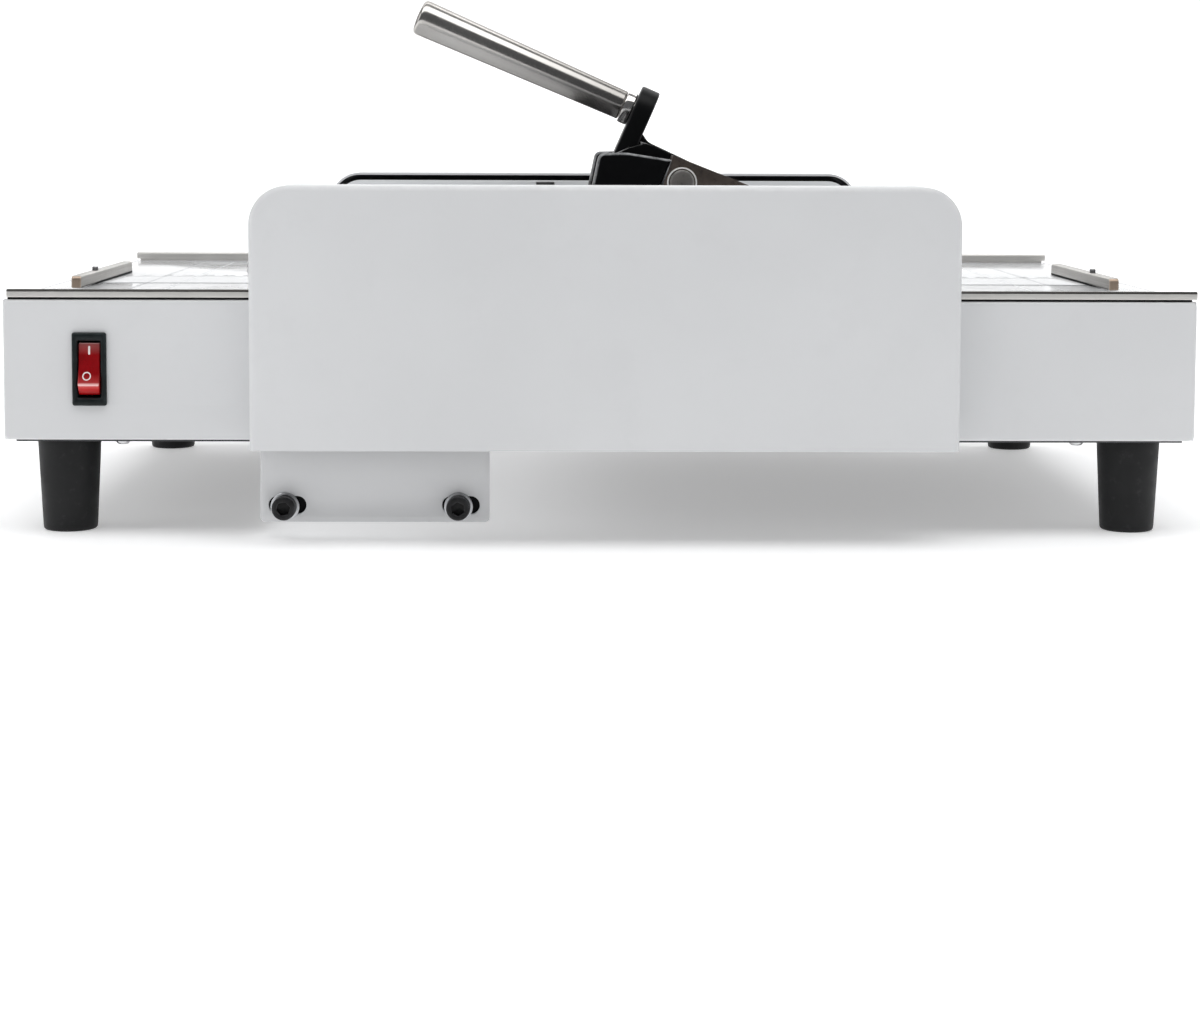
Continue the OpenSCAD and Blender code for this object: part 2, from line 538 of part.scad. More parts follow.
front_panel();
rear_panel();
left_end_panel();
right_end_panel();
base_plate();
left_table();
right_table();
front_edge_strip();
rear_edge_strip();
front_frame_plate();
rear_frame_plate();
front_cover();
rear_cover();
housing_screws();
front_exit_bracket();
rear_exit_bracket();
exit_chute();
bracket_bolts();
feet();
slot_rails();
staple_anvils();
press_shaft();
shaft_bushes();
roller_bearings();
gearmotor();
solenoids();
switch_housing();
power_inlet();
rating_plate();
knife_springs();
press_springs();
front_press_channel();
rear_press_channel();
front_stapler_head();
rear_stapler_head();
head_pins();
lever_arm();
lever_collar();
lever_grip();
staple_drivers();
front_magazine();
rear_magazine();
front_pusher();
rear_pusher();
fold_knife();
knife_carrier();
solenoid_plungers();
left_roller_shaft();
left_roller_sleeve();
left_roller_gear();
right_roller_shaft();
right_roller_sleeve();
right_roller_gear();
drive_gear();
motor_pinion();
rocker();
left_stop_bar();
left_stop_screw();
right_stop_bar();
right_stop_screw();
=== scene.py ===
import json
import math
import bpy
import bmesh
from mathutils import Vector, Matrix
from mathutils.geometry import tessellate_polygon

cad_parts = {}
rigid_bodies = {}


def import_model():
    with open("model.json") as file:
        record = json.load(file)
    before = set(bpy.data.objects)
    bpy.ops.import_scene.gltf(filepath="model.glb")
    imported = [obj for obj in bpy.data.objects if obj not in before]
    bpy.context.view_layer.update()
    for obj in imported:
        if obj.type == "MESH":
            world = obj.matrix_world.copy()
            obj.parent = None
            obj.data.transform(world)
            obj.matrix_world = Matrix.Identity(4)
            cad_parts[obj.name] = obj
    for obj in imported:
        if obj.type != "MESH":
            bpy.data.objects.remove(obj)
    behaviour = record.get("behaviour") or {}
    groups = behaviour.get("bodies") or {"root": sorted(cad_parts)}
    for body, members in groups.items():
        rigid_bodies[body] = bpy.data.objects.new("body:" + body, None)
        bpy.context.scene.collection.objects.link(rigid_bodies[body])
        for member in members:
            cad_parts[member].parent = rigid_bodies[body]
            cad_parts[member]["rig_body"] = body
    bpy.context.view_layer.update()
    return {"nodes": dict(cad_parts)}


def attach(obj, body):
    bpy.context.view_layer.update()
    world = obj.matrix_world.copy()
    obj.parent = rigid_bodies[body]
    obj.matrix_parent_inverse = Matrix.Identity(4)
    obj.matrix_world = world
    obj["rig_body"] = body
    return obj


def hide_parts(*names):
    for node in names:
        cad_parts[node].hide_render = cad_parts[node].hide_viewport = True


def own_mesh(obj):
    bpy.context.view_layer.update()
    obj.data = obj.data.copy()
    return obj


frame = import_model()
NODE = frame["nodes"]
MM = 0.001
PI = math.pi
rad = math.radians

# ---------------------------------------------------------------- camera
cam_data = bpy.data.cameras.new("photo_camera")
cam = bpy.data.objects.new("photo_camera", cam_data)
bpy.context.scene.collection.objects.link(cam)
cam.location = (-0.017190, -1.191298, 0.168401)
cam.rotation_euler = (Matrix.Rotation(rad(-0.912), 3, "Z") @ Matrix.Rotation(rad(90 - 4.466), 3, "X")
                      @ Matrix.Rotation(rad(0.199), 3, "Z")).to_euler()
cam_data.sensor_width = 36.0
cam_data.sensor_fit = "HORIZONTAL"
cam_data.lens = 73.806
cam_data.shift_x = 0.0
cam_data.shift_y = -0.15
cam_data.clip_start = 0.01
cam_data.clip_end = 50.0
bpy.context.scene.camera = cam
bpy.context.scene.view_settings.view_transform = "Standard"
bpy.context.scene.view_settings.look = "None"


# ---------------------------------------------------------------- node material kit
class Mat:
    """A small helper that builds one procedural material."""

    def __init__(self, name):
        self.m = bpy.data.materials.new(name)
        self.m.use_nodes = True
        self.t = self.m.node_tree
        self.t.nodes.clear()
        self.out = self.n("ShaderNodeOutputMaterial")
        self.p = self.n("ShaderNodeBsdfPrincipled")
        self.link(self.p.outputs[0], self.out.inputs[0])
        self.coord = self.n("ShaderNodeTexCoord").outputs["Object"]

    def n(self, kind, **kw):
        node = self.t.nodes.new(kind)
        for k, v in kw.items():
            setattr(node, k, v)
        return node

    def link(self, a, b):
        self.t.links.new(a, b)

    def put(self, **kw):
        """Plain values on the shader's own sockets."""
        names = {"rough": "Roughness", "metal": "Metallic", "ior": "IOR", "coat": "Coat Weight",
                 "coat_rough": "Coat Roughness", "spec": "Specular IOR Level", "aniso": "Anisotropic",
                 "trans": "Transmission Weight", "sheen": "Sheen Weight", "color": "Base Color"}
        for k, v in kw.items():
            if k == "color":
                v = (*v, 1.0)
            self.p.inputs[names[k]].default_value = v
        return self

    def mapped(self, scale=(1, 1, 1), rot=(0, 0, 0), vec=None):
        mp = self.n("ShaderNodeMapping")
        mp.inputs["Scale"].default_value = scale
        mp.inputs["Rotation"].default_value = rot
        self.link(vec or self.coord, mp.inputs["Vector"])
        return mp.outputs[0]

    def noise(self, scale, detail=3.0, rough=0.5, vec=None, dist=0.0):
        tx = self.n("ShaderNodeTexNoise")
        tx.inputs["Scale"].default_value = scale
        tx.inputs["Detail"].default_value = detail
        tx.inputs["Roughness"].default_value = rough
        tx.inputs["Distortion"].default_value = dist
        self.link(vec or self.coord, tx.inputs["Vector"])
        return tx.outputs["Fac"]

    def ramp(self, fac, stops):
        r = self.n("ShaderNodeValToRGB")
        els = r.color_ramp.elements
        while len(els) < len(stops):
            els.new(0.5)
        for e, (pos, col) in zip(els, stops):
            e.position = pos
            e.color = (*col, 1.0) if len(col) == 3 else col
        self.link(fac, r.inputs[0])
        return r.outputs[0]

    def range(self, fac, lo, hi, a=0.0, b=1.0):
        r = self.n("ShaderNodeMapRange")
        r.inputs["From Min"].default_value = lo
        r.inputs["From Max"].default_value = hi
        r.inputs["To Min"].default_value = a
        r.inputs["To Max"].default_value = b
        self.link(fac, r.inputs["Value"])
        return r.outputs[0]

    def mix(self, fac, a, b):
        mx = self.n("ShaderNodeMix", data_type="RGBA")
        for val, sock in ((fac, mx.inputs[0]), (a, mx.inputs[6]), (b, mx.inputs[7])):
            if hasattr(val, "links"):
                self.link(val, sock)
            elif isinstance(val, (int, float)):
                sock.default_value = val
            else:
                sock.default_value = (*val, 1.0)
        return mx.outputs[2]

    def math(self, op, a, b=0.0):
        mt = self.n("ShaderNodeMath", operation=op)
        for val, sock in ((a, mt.inputs[0]), (b, mt.inputs[1])):
            if hasattr(val, "links"):
                self.link(val, sock)
            else:
                sock.default_value = val
        return mt.outputs[0]

    def attr(self, name="wear_and_highlight"):
        return self.n("ShaderNodeAttribute", attribute_name=name).outputs["Fac"]

    def color(self, socket):
        self.link(socket, self.p.inputs["Base Color"])
        return self

    def rough(self, socket):
        self.link(socket, self.p.inputs["Roughness"])
        return self

    def bump(self, height, strength=0.2, distance=0.0002):
        b = self.n("ShaderNodeBump")
        b.inputs["Strength"].default_value = strength
        b.inputs["Distance"].default_value = distance
        prev = self.p.inputs["Normal"]
        if prev.links:
            self.link(prev.links[0].from_socket, b.inputs["Normal"])
        self.link(height, b.inputs["Height"])
        self.link(b.outputs[0], self.p.inputs["Normal"])
        return self


def tone(c, k):
    return tuple(min(1.0, x * k) for x in c)


def coat_paint(name, c, rough=0.42, peel=900.0, peel_k=0.10, edge=None, edge_k=0.5, var=0.03, spec=0.5):
    """Powder coat or sprayed paint: orange peel, slow tone drift, gloss patches and thinner paint along edges; on the
    black enamels the edge colour is also a painted highlight.
    """
    m = Mat(name)
    m.put(spec=spec)
    slow = m.noise(9.0, 3.0, 0.55)
    fine = m.noise(60.0, 4.0, 0.6)
    col = m.mix(m.range(slow, 0.3, 0.7), tone(c, 1 - var), tone(c, 1 + var))
    col = m.mix(m.math("MULTIPLY", m.range(fine, 0.55, 0.8), 0.35), col, tone(c, 1 - 2 * var))
    if edge:
        worn_and_highlit = m.math("MULTIPLY", m.attr(), m.range(m.noise(180.0, 4.0, 0.65), 0.38, 0.62, 0.15, edge_k))
        col = m.mix(worn_and_highlit, col, edge)
    m.color(col)
    m.rough(m.range(m.noise(26.0, 4.0, 0.6), 0.3, 0.75, rough - 0.05, rough + 0.06))
    m.bump(m.noise(peel, 2.0, 0.5), peel_k, 0.00012)
    return m.m


def moulded(name, c, rough=0.5, grain=1400.0, grain_k=0.25, edge=None, edge_k=0.4, spec=0.45, dust=None):
    """Moulded plastic or rubber: fine spark-eroded grain, scuffs and faint dust."""
    m = Mat(name)
    m.put(spec=spec)
    slow = m.noise(35.0, 4.0, 0.6)
    col = m.mix(m.range(slow, 0.35, 0.7), tone(c, 0.82), tone(c, 1.2))
    if dust:
        col = m.mix(m.math("MULTIPLY", m.range(m.noise(240.0, 5.0, 0.7), 0.56, 0.8), 0.35), col, dust)
    if edge:
        worn_and_highlit = m.math("MULTIPLY", m.attr(), m.range(m.noise(260.0, 4.0, 0.6), 0.4, 0.62, 0.2, edge_k))
        col = m.mix(worn_and_highlit, col, edge)
    m.color(col)
    m.rough(m.range(m.noise(90.0, 5.0, 0.65), 0.3, 0.75, rough - 0.08, rough + 0.1))
    m.bump(m.noise(grain, 2.0, 0.5), grain_k, 0.00006)
    return m.m


def metal(name, c, rough=0.28, brush=None, brush_k=0.12, aniso=0.0, var=0.07, edge=None, edge_k=0.6,
          spot=None, scratch=True, metallic=1.0):
    """Bare metal. brush is the scale of its lines along each axis: small along the brushing, large across."""
    m = Mat(name)
    m.put(metal=metallic, aniso=aniso)
    slow = m.noise(30.0, 4.0, 0.6)
    col = m.mix(m.range(slow, 0.3, 0.7), tone(c, 1 - var), tone(c, 1 + var))
    base = m.noise(120.0, 5.0, 0.65)
    r = m.range(base, 0.3, 0.75, rough - 0.05, rough + 0.07)
    if brush:
        lines = m.noise(1.0, 6.0, 0.72, m.mapped(brush))
        col = m.mix(m.range(lines, 0.35, 0.65, 0.0, 0.55), col, tone(c, 0.72))
        r = m.math("ADD", r, m.range(lines, 0.3, 0.7, -0.05, 0.07))
        m.bump(lines, brush_k, 0.00005)
    elif scratch:
        m.bump(base, 0.05, 0.00004)
    if spot:
        col = m.mix(m.range(m.noise(420.0, 4.0, 0.7), 0.52, 0.7, 0.0, 0.75), col, spot)
    if edge:
        worn_and_highlit = m.math("MULTIPLY", m.attr(), m.range(m.noise(300.0, 3.0, 0.6), 0.35, 0.6, 0.35, edge_k))
        col = m.mix(worn_and_highlit, col, edge)
    m.color(col)
    m.rough(r)
    return m.m


WHITE = coat_paint("housing_white_powder_coat", (0.705, 0.712, 0.722), 0.42, edge=(0.80, 0.805, 0.81), edge_k=0.6)
INNER = coat_paint("frame_grey_paint", (0.80, 0.815, 0.83), 0.44, edge=(0.84, 0.85, 0.86), edge_k=0.6)
BRACKET = coat_paint("bracket_grey_paint", (0.730, 0.735, 0.745), 0.46, peel=1100, edge=(0.80, 0.80, 0.81), edge_k=0.6, var=0.02)
# dark paint of the base plate, also used inside the covers' hollow as painted shade
DARK_PAINT_AND_HOLLOW_SHADE = coat_paint("base_dark_paint_and_hollow_shade", (0.030, 0.031, 0.034), 0.42, edge=(0.20, 0.20, 0.21), edge_k=0.7, var=0.12)
STAINLESS = metal("stainless_brushed", (0.70, 0.685, 0.660), 0.36, brush=(14, 900, 900), brush_k=0.16,
                  edge=(0.86, 0.84, 0.81), metallic=0.5)
# dark steel used as painted reflection on the front rail's upper bends and as painted shade under the stop bars
PAINTED_SHADE_STEEL = metal("stainless_painted_shade", (0.060, 0.057, 0.054), 0.34, brush=(14, 900, 900), brush_k=0.1, edge=(0.13, 0.125, 0.12))
STAINLESS_Y = metal("stainless_brushed_bar", (0.47, 0.455, 0.43), 0.38, brush=(900, 14, 900), brush_k=0.16,
                    edge=(0.78, 0.76, 0.72), metallic=0.7)
RAW_CUT = metal("stainless_raw_cut", (0.56, 0.44, 0.35), 0.46, brush=(1400, 1400, 90), brush_k=0.3, var=0.14,
                edge=(0.74, 0.64, 0.55))
ZINC_BRIGHT = metal("zinc_bright", (0.76, 0.77, 0.78), 0.40, var=0.08, edge=(0.88, 0.88, 0.89), metallic=0.45)
POLISHED = metal("polished_steel", (0.735, 0.715, 0.695), 0.155, brush=(1, 1, 1), scratch=False)
ZINC = metal("zinc_plated_steel", (0.62, 0.63, 0.65), 0.34, var=0.12, edge=(0.85, 0.85, 0.86))
GROUND = metal("ground_steel", (0.66, 0.66, 0.67), 0.20, brush=(700, 30, 700), brush_k=0.08, edge=(0.85, 0.85, 0.85))
TOOL = metal("tool_steel", (0.52, 0.52, 0.54), 0.26, brush=(700, 26, 700), brush_k=0.12, edge=(0.86, 0.86, 0.87))
SPRING = metal("spring_wire", (0.34, 0.34, 0.36), 0.34)
STUD = metal("stud_dark_steel", (0.20, 0.20, 0.205), 0.38, var=0.15, edge=(0.5, 0.5, 0.5))
SCREW = metal("screw_zinc", (0.70, 0.70, 0.71), 0.27, var=0.10, edge=(0.9, 0.9, 0.9))
NICKEL = metal("magazine_nickel", (0.62, 0.615, 0.60), 0.24, brush=(26, 800, 800), brush_k=0.08, edge=(0.86, 0.85, 0.83))
GUNMETAL = metal("gunmetal_tumbled", (0.155, 0.128, 0.112), 0.44, var=0.28, spot=(0.075, 0.068, 0.066),
                 edge=(0.82, 0.78, 0.74), edge_k=1.0)
PIN = metal("pin_tumbled", (0.235, 0.220, 0.205), 0.46, var=0.22, spot=(0.13, 0.12, 0.115),
            edge=(0.62, 0.60, 0.57), edge_k=1.0)
# the near-white, almost unmetallic colour is partly the ring's own bright finish and partly a painted highlight
RING = metal("pin_ring_bright", (0.84, 0.83, 0.81), 0.34, edge=(0.92, 0.91, 0.89), metallic=0.1)
GEARSTEEL = metal("gear_steel", (0.42, 0.42, 0.43), 0.33, edge=(0.75, 0.75, 0.75))
# the light edge colour is partly wear and partly a painted highlight on the rounded edges
HEAD = coat_paint("head_black_enamel", (0.0030, 0.0031, 0.0036), 0.36, peel=700, peel_k=0.12, edge=(0.40, 0.41, 0.42),
                  edge_k=1.0, var=0.15, spec=0.12)
CAST = coat_paint("arm_black_casting", (0.0032, 0.0033, 0.0038), 0.40, peel=420, peel_k=0.22, edge=(0.06, 0.06, 0.065),
                  edge_k=0.5, var=0.2, spec=0.16)
# painted highlight: the light edge colour stands in for light caught by the rounded edges
CAST_EDGE_HIGHLIGHT = coat_paint("arm_black_casting_painted_highlight", (0.0040, 0.0041, 0.0047), 0.38, peel=420, peel_k=0.2, edge=(0.62, 0.62, 0.63),
                       edge_k=1.0, var=0.2, spec=0.2)
OXIDE = coat_paint("black_oxide", (0.016, 0.016, 0.0165), 0.36, peel=2600, peel_k=0.12, edge=(0.15, 0.15, 0.155),
                   edge_k=0.7, var=0.2)
# black oxide of the bolts and nuts, also used on the front rail's leg as painted shade in the gap
BOLT_OXIDE_AND_GAP_SHADE = coat_paint("bolt_black_oxide_and_gap_shade", (0.0065, 0.0065, 0.007), 0.36, peel=2600, peel_k=0.12, edge=(0.09, 0.09, 0.095),
                  edge_k=0.7, var=0.2, spec=0.22)
# black rubber of the oval washers, also used for the painted shadow strips under the stop bars
SEAL_AND_SHADOW_STRIP = moulded("washer_black_rubber_and_shadow_strip", (0.0035, 0.0035, 0.004), 0.62, spec=0.12, grain=1800, grain_k=0.3, edge=(0.02, 0.02, 0.022))
BLACK = moulded("black_plastic", (0.018, 0.019, 0.020), 0.40, edge=(0.06, 0.065, 0.07))
BEZEL = moulded("switch_bezel_plastic", (0.0055, 0.0080, 0.0085), 0.36, spec=0.18, grain=2200, grain_k=0.12,
                edge=(0.022, 0.030, 0.032), edge_k=0.8)
FOOT = moulded("foot_black_rubber", (0.0085, 0.0088, 0.0095), 0.52, spec=0.3, grain=1500, grain_k=0.35, edge=(0.035, 0.036, 0.038),
               dust=(0.05, 0.05, 0.052))
RUBBER = moulded("roller_rubber", (0.030, 0.030, 0.032), 0.68, grain=2600, grain_k=0.5, dust=(0.10, 0.10, 0.10))
NYLON = moulded("gear_nylon", (0.74, 0.71, 0.62), 0.38, grain=900, grain_k=0.1, edge=(0.85, 0.83, 0.76))
MOTOR = coat_paint("motor_paint", (0.16, 0.175, 0.19), 0.36, edge=(0.42, 0.42, 0.43), edge_k=0.8, var=0.1)
COIL = moulded("coil_body", (0.040, 0.040, 0.046), 0.42, edge=(0.12, 0.12, 0.13))


def rating_silver():
    m = Mat("rating_silver_foil")
    m.put(metal=0.0)
    m.p.inputs["Metallic"].default_value = 0.92
    lines = m.noise(1.0, 5.0, 0.75, m.mapped((10, 900, 900)))
    slow = m.noise(14.0, 3.0, 0.5)
    col = m.mix(m.range(lines, 0.3, 0.7), (0.43, 0.44, 0.46), (0.57, 0.585, 0.61))
    col = m.mix(m.range(slow, 0.35, 0.7, 0.0, 0.4), col, (0.72, 0.73, 0.75))
    m.color(col)
    m.rough(m.range(lines, 0.3, 0.7, 0.34, 0.46))
    m.bump(lines, 0.10, 0.00004)
    return m.m


def table_gloss():
    """Glossy white laminate with a faint speckle and wiped smudges in its gloss."""
    m = Mat("table_gloss_white")
    m.put(spec=0.45)
    speck = m.noise(320.0, 4.0, 0.7)
    slow = m.noise(7.0, 3.0, 0.5)
    col = m.mix(m.range(slow, 0.3, 0.7), (0.640, 0.648, 0.660), (0.680, 0.688, 0.700))
    col = m.mix(m.range(speck, 0.60, 0.74, 0.0, 0.16), col, (0.55, 0.56, 0.58))
    worn_and_highlit = m.math("MULTIPLY", m.attr(), 0.6)
    m.color(m.mix(worn_and_highlit, col, (0.56, 0.57, 0.58)))
    m.rough(m.range(m.noise(22.0, 5.0, 0.7), 0.35, 0.75, 0.09, 0.20))
    m.bump(m.noise(700.0, 2.0, 0.4), 0.03, 0.00006)
    return m.m


def ink(name, c, rough=0.35):
    """Screen-printed ink: slightly broken, thinner in places."""
    m = Mat(name)
    m.put(spec=0.5)
    m.color(m.mix(m.range(m.noise(700.0, 4.0, 0.7), 0.45, 0.75, 0.0, 0.45), c, tuple(0.5 * x + 0.42 for x in c)))
    m.rough(m.range(m.noise(90.0, 3.0, 0.6), 0.3, 0.7, rough - 0.06, rough + 0.08))
    return m.m


def rocker_red():
    """Translucent red polycarbonate: deep red body, lighter where it is thin as painted light passing through it, a
    painted highlight on the ridge, glossy skin.
    """
    m = Mat("rocker_red_translucent")
    m.put(spec=0.22, coat=0.14, coat_rough=0.06)
    deep = m.noise(240.0, 3.0, 0.5)
    col = m.mix(m.range(deep, 0.3, 0.7), (0.17, 0.001, 0.003), (0.25, 0.002, 0.005))
    # painted light: the red is lifted where the rocker is thin, standing in for light passing through it
    thin = m.attr("thin")
    col = m.mix(thin, col, (0.60, 0.006, 0.006))
    # painted highlight: the edge attribute paints a pale highlight on the ridge
    ridge_highlight = m.math("MULTIPLY", m.attr(), 1.0)
    col = m.mix(ridge_highlight, col, (0.95, 0.62, 0.60))
    m.color(col)
    m.rough(m.range(m.noise(60.0, 3.0, 0.5), 0.3, 0.7, 0.12, 0.22))
    m.bump(m.noise(500.0, 2.0, 0.5), 0.03, 0.0001)
    return m.m


CORE = coat_paint("table_core_edge", (0.15, 0.172, 0.176), 0.32, peel=1500, edge=(0.30, 0.33, 0.335), edge_k=0.5, var=0.1)
SILVER = rating_silver()
TABLE = table_gloss()
INK_GREY = ink("print_grey", (0.16, 0.17, 0.185))
INK_PALE = ink("print_pale_grey", (0.52, 0.54, 0.56))
INK_BLACK = ink("print_black", (0.012, 0.012, 0.013))
MARK_WHITE = ink("mark_white_paint", (0.86, 0.80, 0.79), 0.4)
RED = rocker_red()
BRASS = metal("terminal_brass", (0.62, 0.50, 0.30), 0.30, edge=(0.8, 0.7, 0.5))


def polished_grip():
    """Turned and polished steel: fine lines round the grip, long soft polish along it, faint handling marks, and a
    painted reflection shade that darkens it towards the arm.
    """
    m = Mat("grip_polished_steel")
    m.put(metal=1.0, aniso=0.35)
    m.p.inputs["Specular Tint"].default_value = (0.50, 0.49, 0.48, 1.0)
    axis = Vector((-math.sin(rad(66.65)), 0, math.cos(rad(66.65))))
    # length along the grip, from the object coordinates
    dot = m.n("ShaderNodeVectorMath", operation="DOT_PRODUCT")
    m.link(m.coord, dot.inputs[0])
    dot.inputs[1].default_value = axis
    along = m.n("ShaderNodeCombineXYZ")
    m.link(m.math("MULTIPLY", dot.outputs["Value"], 5200.0), along.inputs[0])
    rings = m.noise(1.0, 5.0, 0.75, along.outputs[0])
    slow = m.noise(40.0, 4.0, 0.6)
    col = m.mix(m.range(slow, 0.3, 0.7), (0.54, 0.522, 0.500), (0.62, 0.605, 0.583))
    col = m.mix(m.range(rings, 0.35, 0.7, 0.0, 0.18), col, (0.40, 0.375, 0.35))
    # painted reflection shade: the colour darkens from the outer end towards the end by the arm, standing in for the
    # dark parts reflected there
    base = 16.9 * axis.x * 0.001 + 181.6 * axis.z * 0.001
    painted_reflection_shade = m.math("ADD", m.range(dot.outputs["Value"], base + 0.078, base + 0.012, 0.0, 0.52), m.range(slow, 0.3, 0.7, -0.04, 0.04))
    col = m.mix(painted_reflection_shade, col, (0.115, 0.108, 0.100))
    m.color(col)
    m.rough(m.range(m.noise(150.0, 5.0, 0.7), 0.35, 0.75, 0.17, 0.27))
    m.bump(rings, 0.05, 0.00003)
    return m.m


GRIP = polished_grip()

# ---------------------------------------------------------------- mesh kit (millimetres in, metres out)
XZ = lambda u, v, w: Vector((u, w, v))      # outline in X,Z, thickness along Y
YZ = lambda u, v, w: Vector((w, u, v))      # outline in Y,Z, length along X
XY = lambda u, v, w: Vector((u, v, w))      # outline in X,Y, thickness along Z


def mirror_y(f):
    return lambda u, v, w: Vector((f(u, v, w).x, -f(u, v, w).y, f(u, v, w).z))


def placed(matrix, f=XY):
    return lambda u, v, w: matrix @ f(u, v, w)


def rounded(pts, r=1.0, seg=6):
    """A closed outline with its corners turned into arcs. A point may carry its own radius."""
    out, n = [], len(pts)
    for i in range(n):
        p = Vector(pts[i][:2])
        a, b = Vector(pts[i - 1][:2]), Vector(pts[(i + 1) % n][:2])
        ri = pts[i][2] if len(pts[i]) > 2 else r
        u, v = (a - p), (b - p)
        la, lb = u.length, v.length
        u.normalize(), v.normalize()
        ang = math.acos(max(-1, min(1, u.dot(v))))
        if ri < 1e-6 or ang > PI - 0.01 or ang < 0.01:
            out.append((p.x, p.y))
            continue
        d = min(ri / math.tan(ang / 2), la * 0.495, lb * 0.495)
        rr = d * math.tan(ang / 2)
        c = p + (u + v).normalized() * (rr / math.sin(ang / 2))
        t0, t1 = p + u * d - c, p + v * d - c
        a0 = math.atan2(t0.y, t0.x)
        da = math.atan2(t1.y, t1.x) - a0
        while da > PI:
            da -= 2 * PI
        while da < -PI:
            da += 2 * PI
        k = max(1, math.ceil(seg * abs(da) / (PI / 2)))
        out += [(c.x + rr * math.cos(a0 + da * j / k), c.y + rr * math.sin(a0 + da * j / k)) for j in range(k + 1)]
    return clean(out)


def clean(pts, eps=1e-4):
    out = []
    for p in pts:
        if not out or math.dist(p, out[-1]) > eps:
            out.append(p)
    if math.dist(out[0], out[-1]) < eps:
        out.pop()
    return out


def ring(x, y, r, n=48, start=0.0):
    return [(x + r * math.cos(start + 2 * PI * i / n), y + r * math.sin(start + 2 * PI * i / n)) for i in range(n)]


def slot_loop(x0, x1, y, w, seg=12):
    """A long hole with round ends, from centre x0 to centre x1."""
    r = w / 2
    pts = [(x1 + r * math.cos(-PI / 2 + PI * j / seg), y + r * math.sin(-PI / 2 + PI * j / seg)) for j in range(seg + 1)]
    pts += [(x0 + r * math.cos(PI / 2 + PI * j / seg), y + r * math.sin(PI / 2 + PI * j / seg)) for j in range(seg + 1)]
    return clean(pts)


def rect(x0, y0, x1, y1, r=0.0, seg=5):
    pts = [(x0, y0), (x1, y0), (x1, y1), (x0, y1)]
    return rounded(pts, r, seg) if r else pts


def area2(p):
    return sum(p[i - 1][0] * p[i][1] - p[i][0] * p[i - 1][1] for i in range(len(p)))


def inset(loop, d):
    """Moves a loop into the material by d: outer loops run anticlockwise and holes clockwise."""
    if abs(d) < 1e-9:
        return list(loop)
    out, n = [], len(loop)
    for i in range(n):
        a, p, b = Vector(loop[i - 1]), Vector(loop[i]), Vector(loop[(i + 1) % n])
        e0, e1 = (p - a).normalized(), (b - p).normalized()
        n0, n1 = Vector((-e0.y, e0.x)), Vector((-e1.y, e1.x))
        m = n0 + n1
        if m.length < 1e-6:
            m = n0
        m.normalize()
        k = max(0.35, m.dot(n0))
        q = p + m * (d / k)
        out.append((q.x, q.y))
    return out


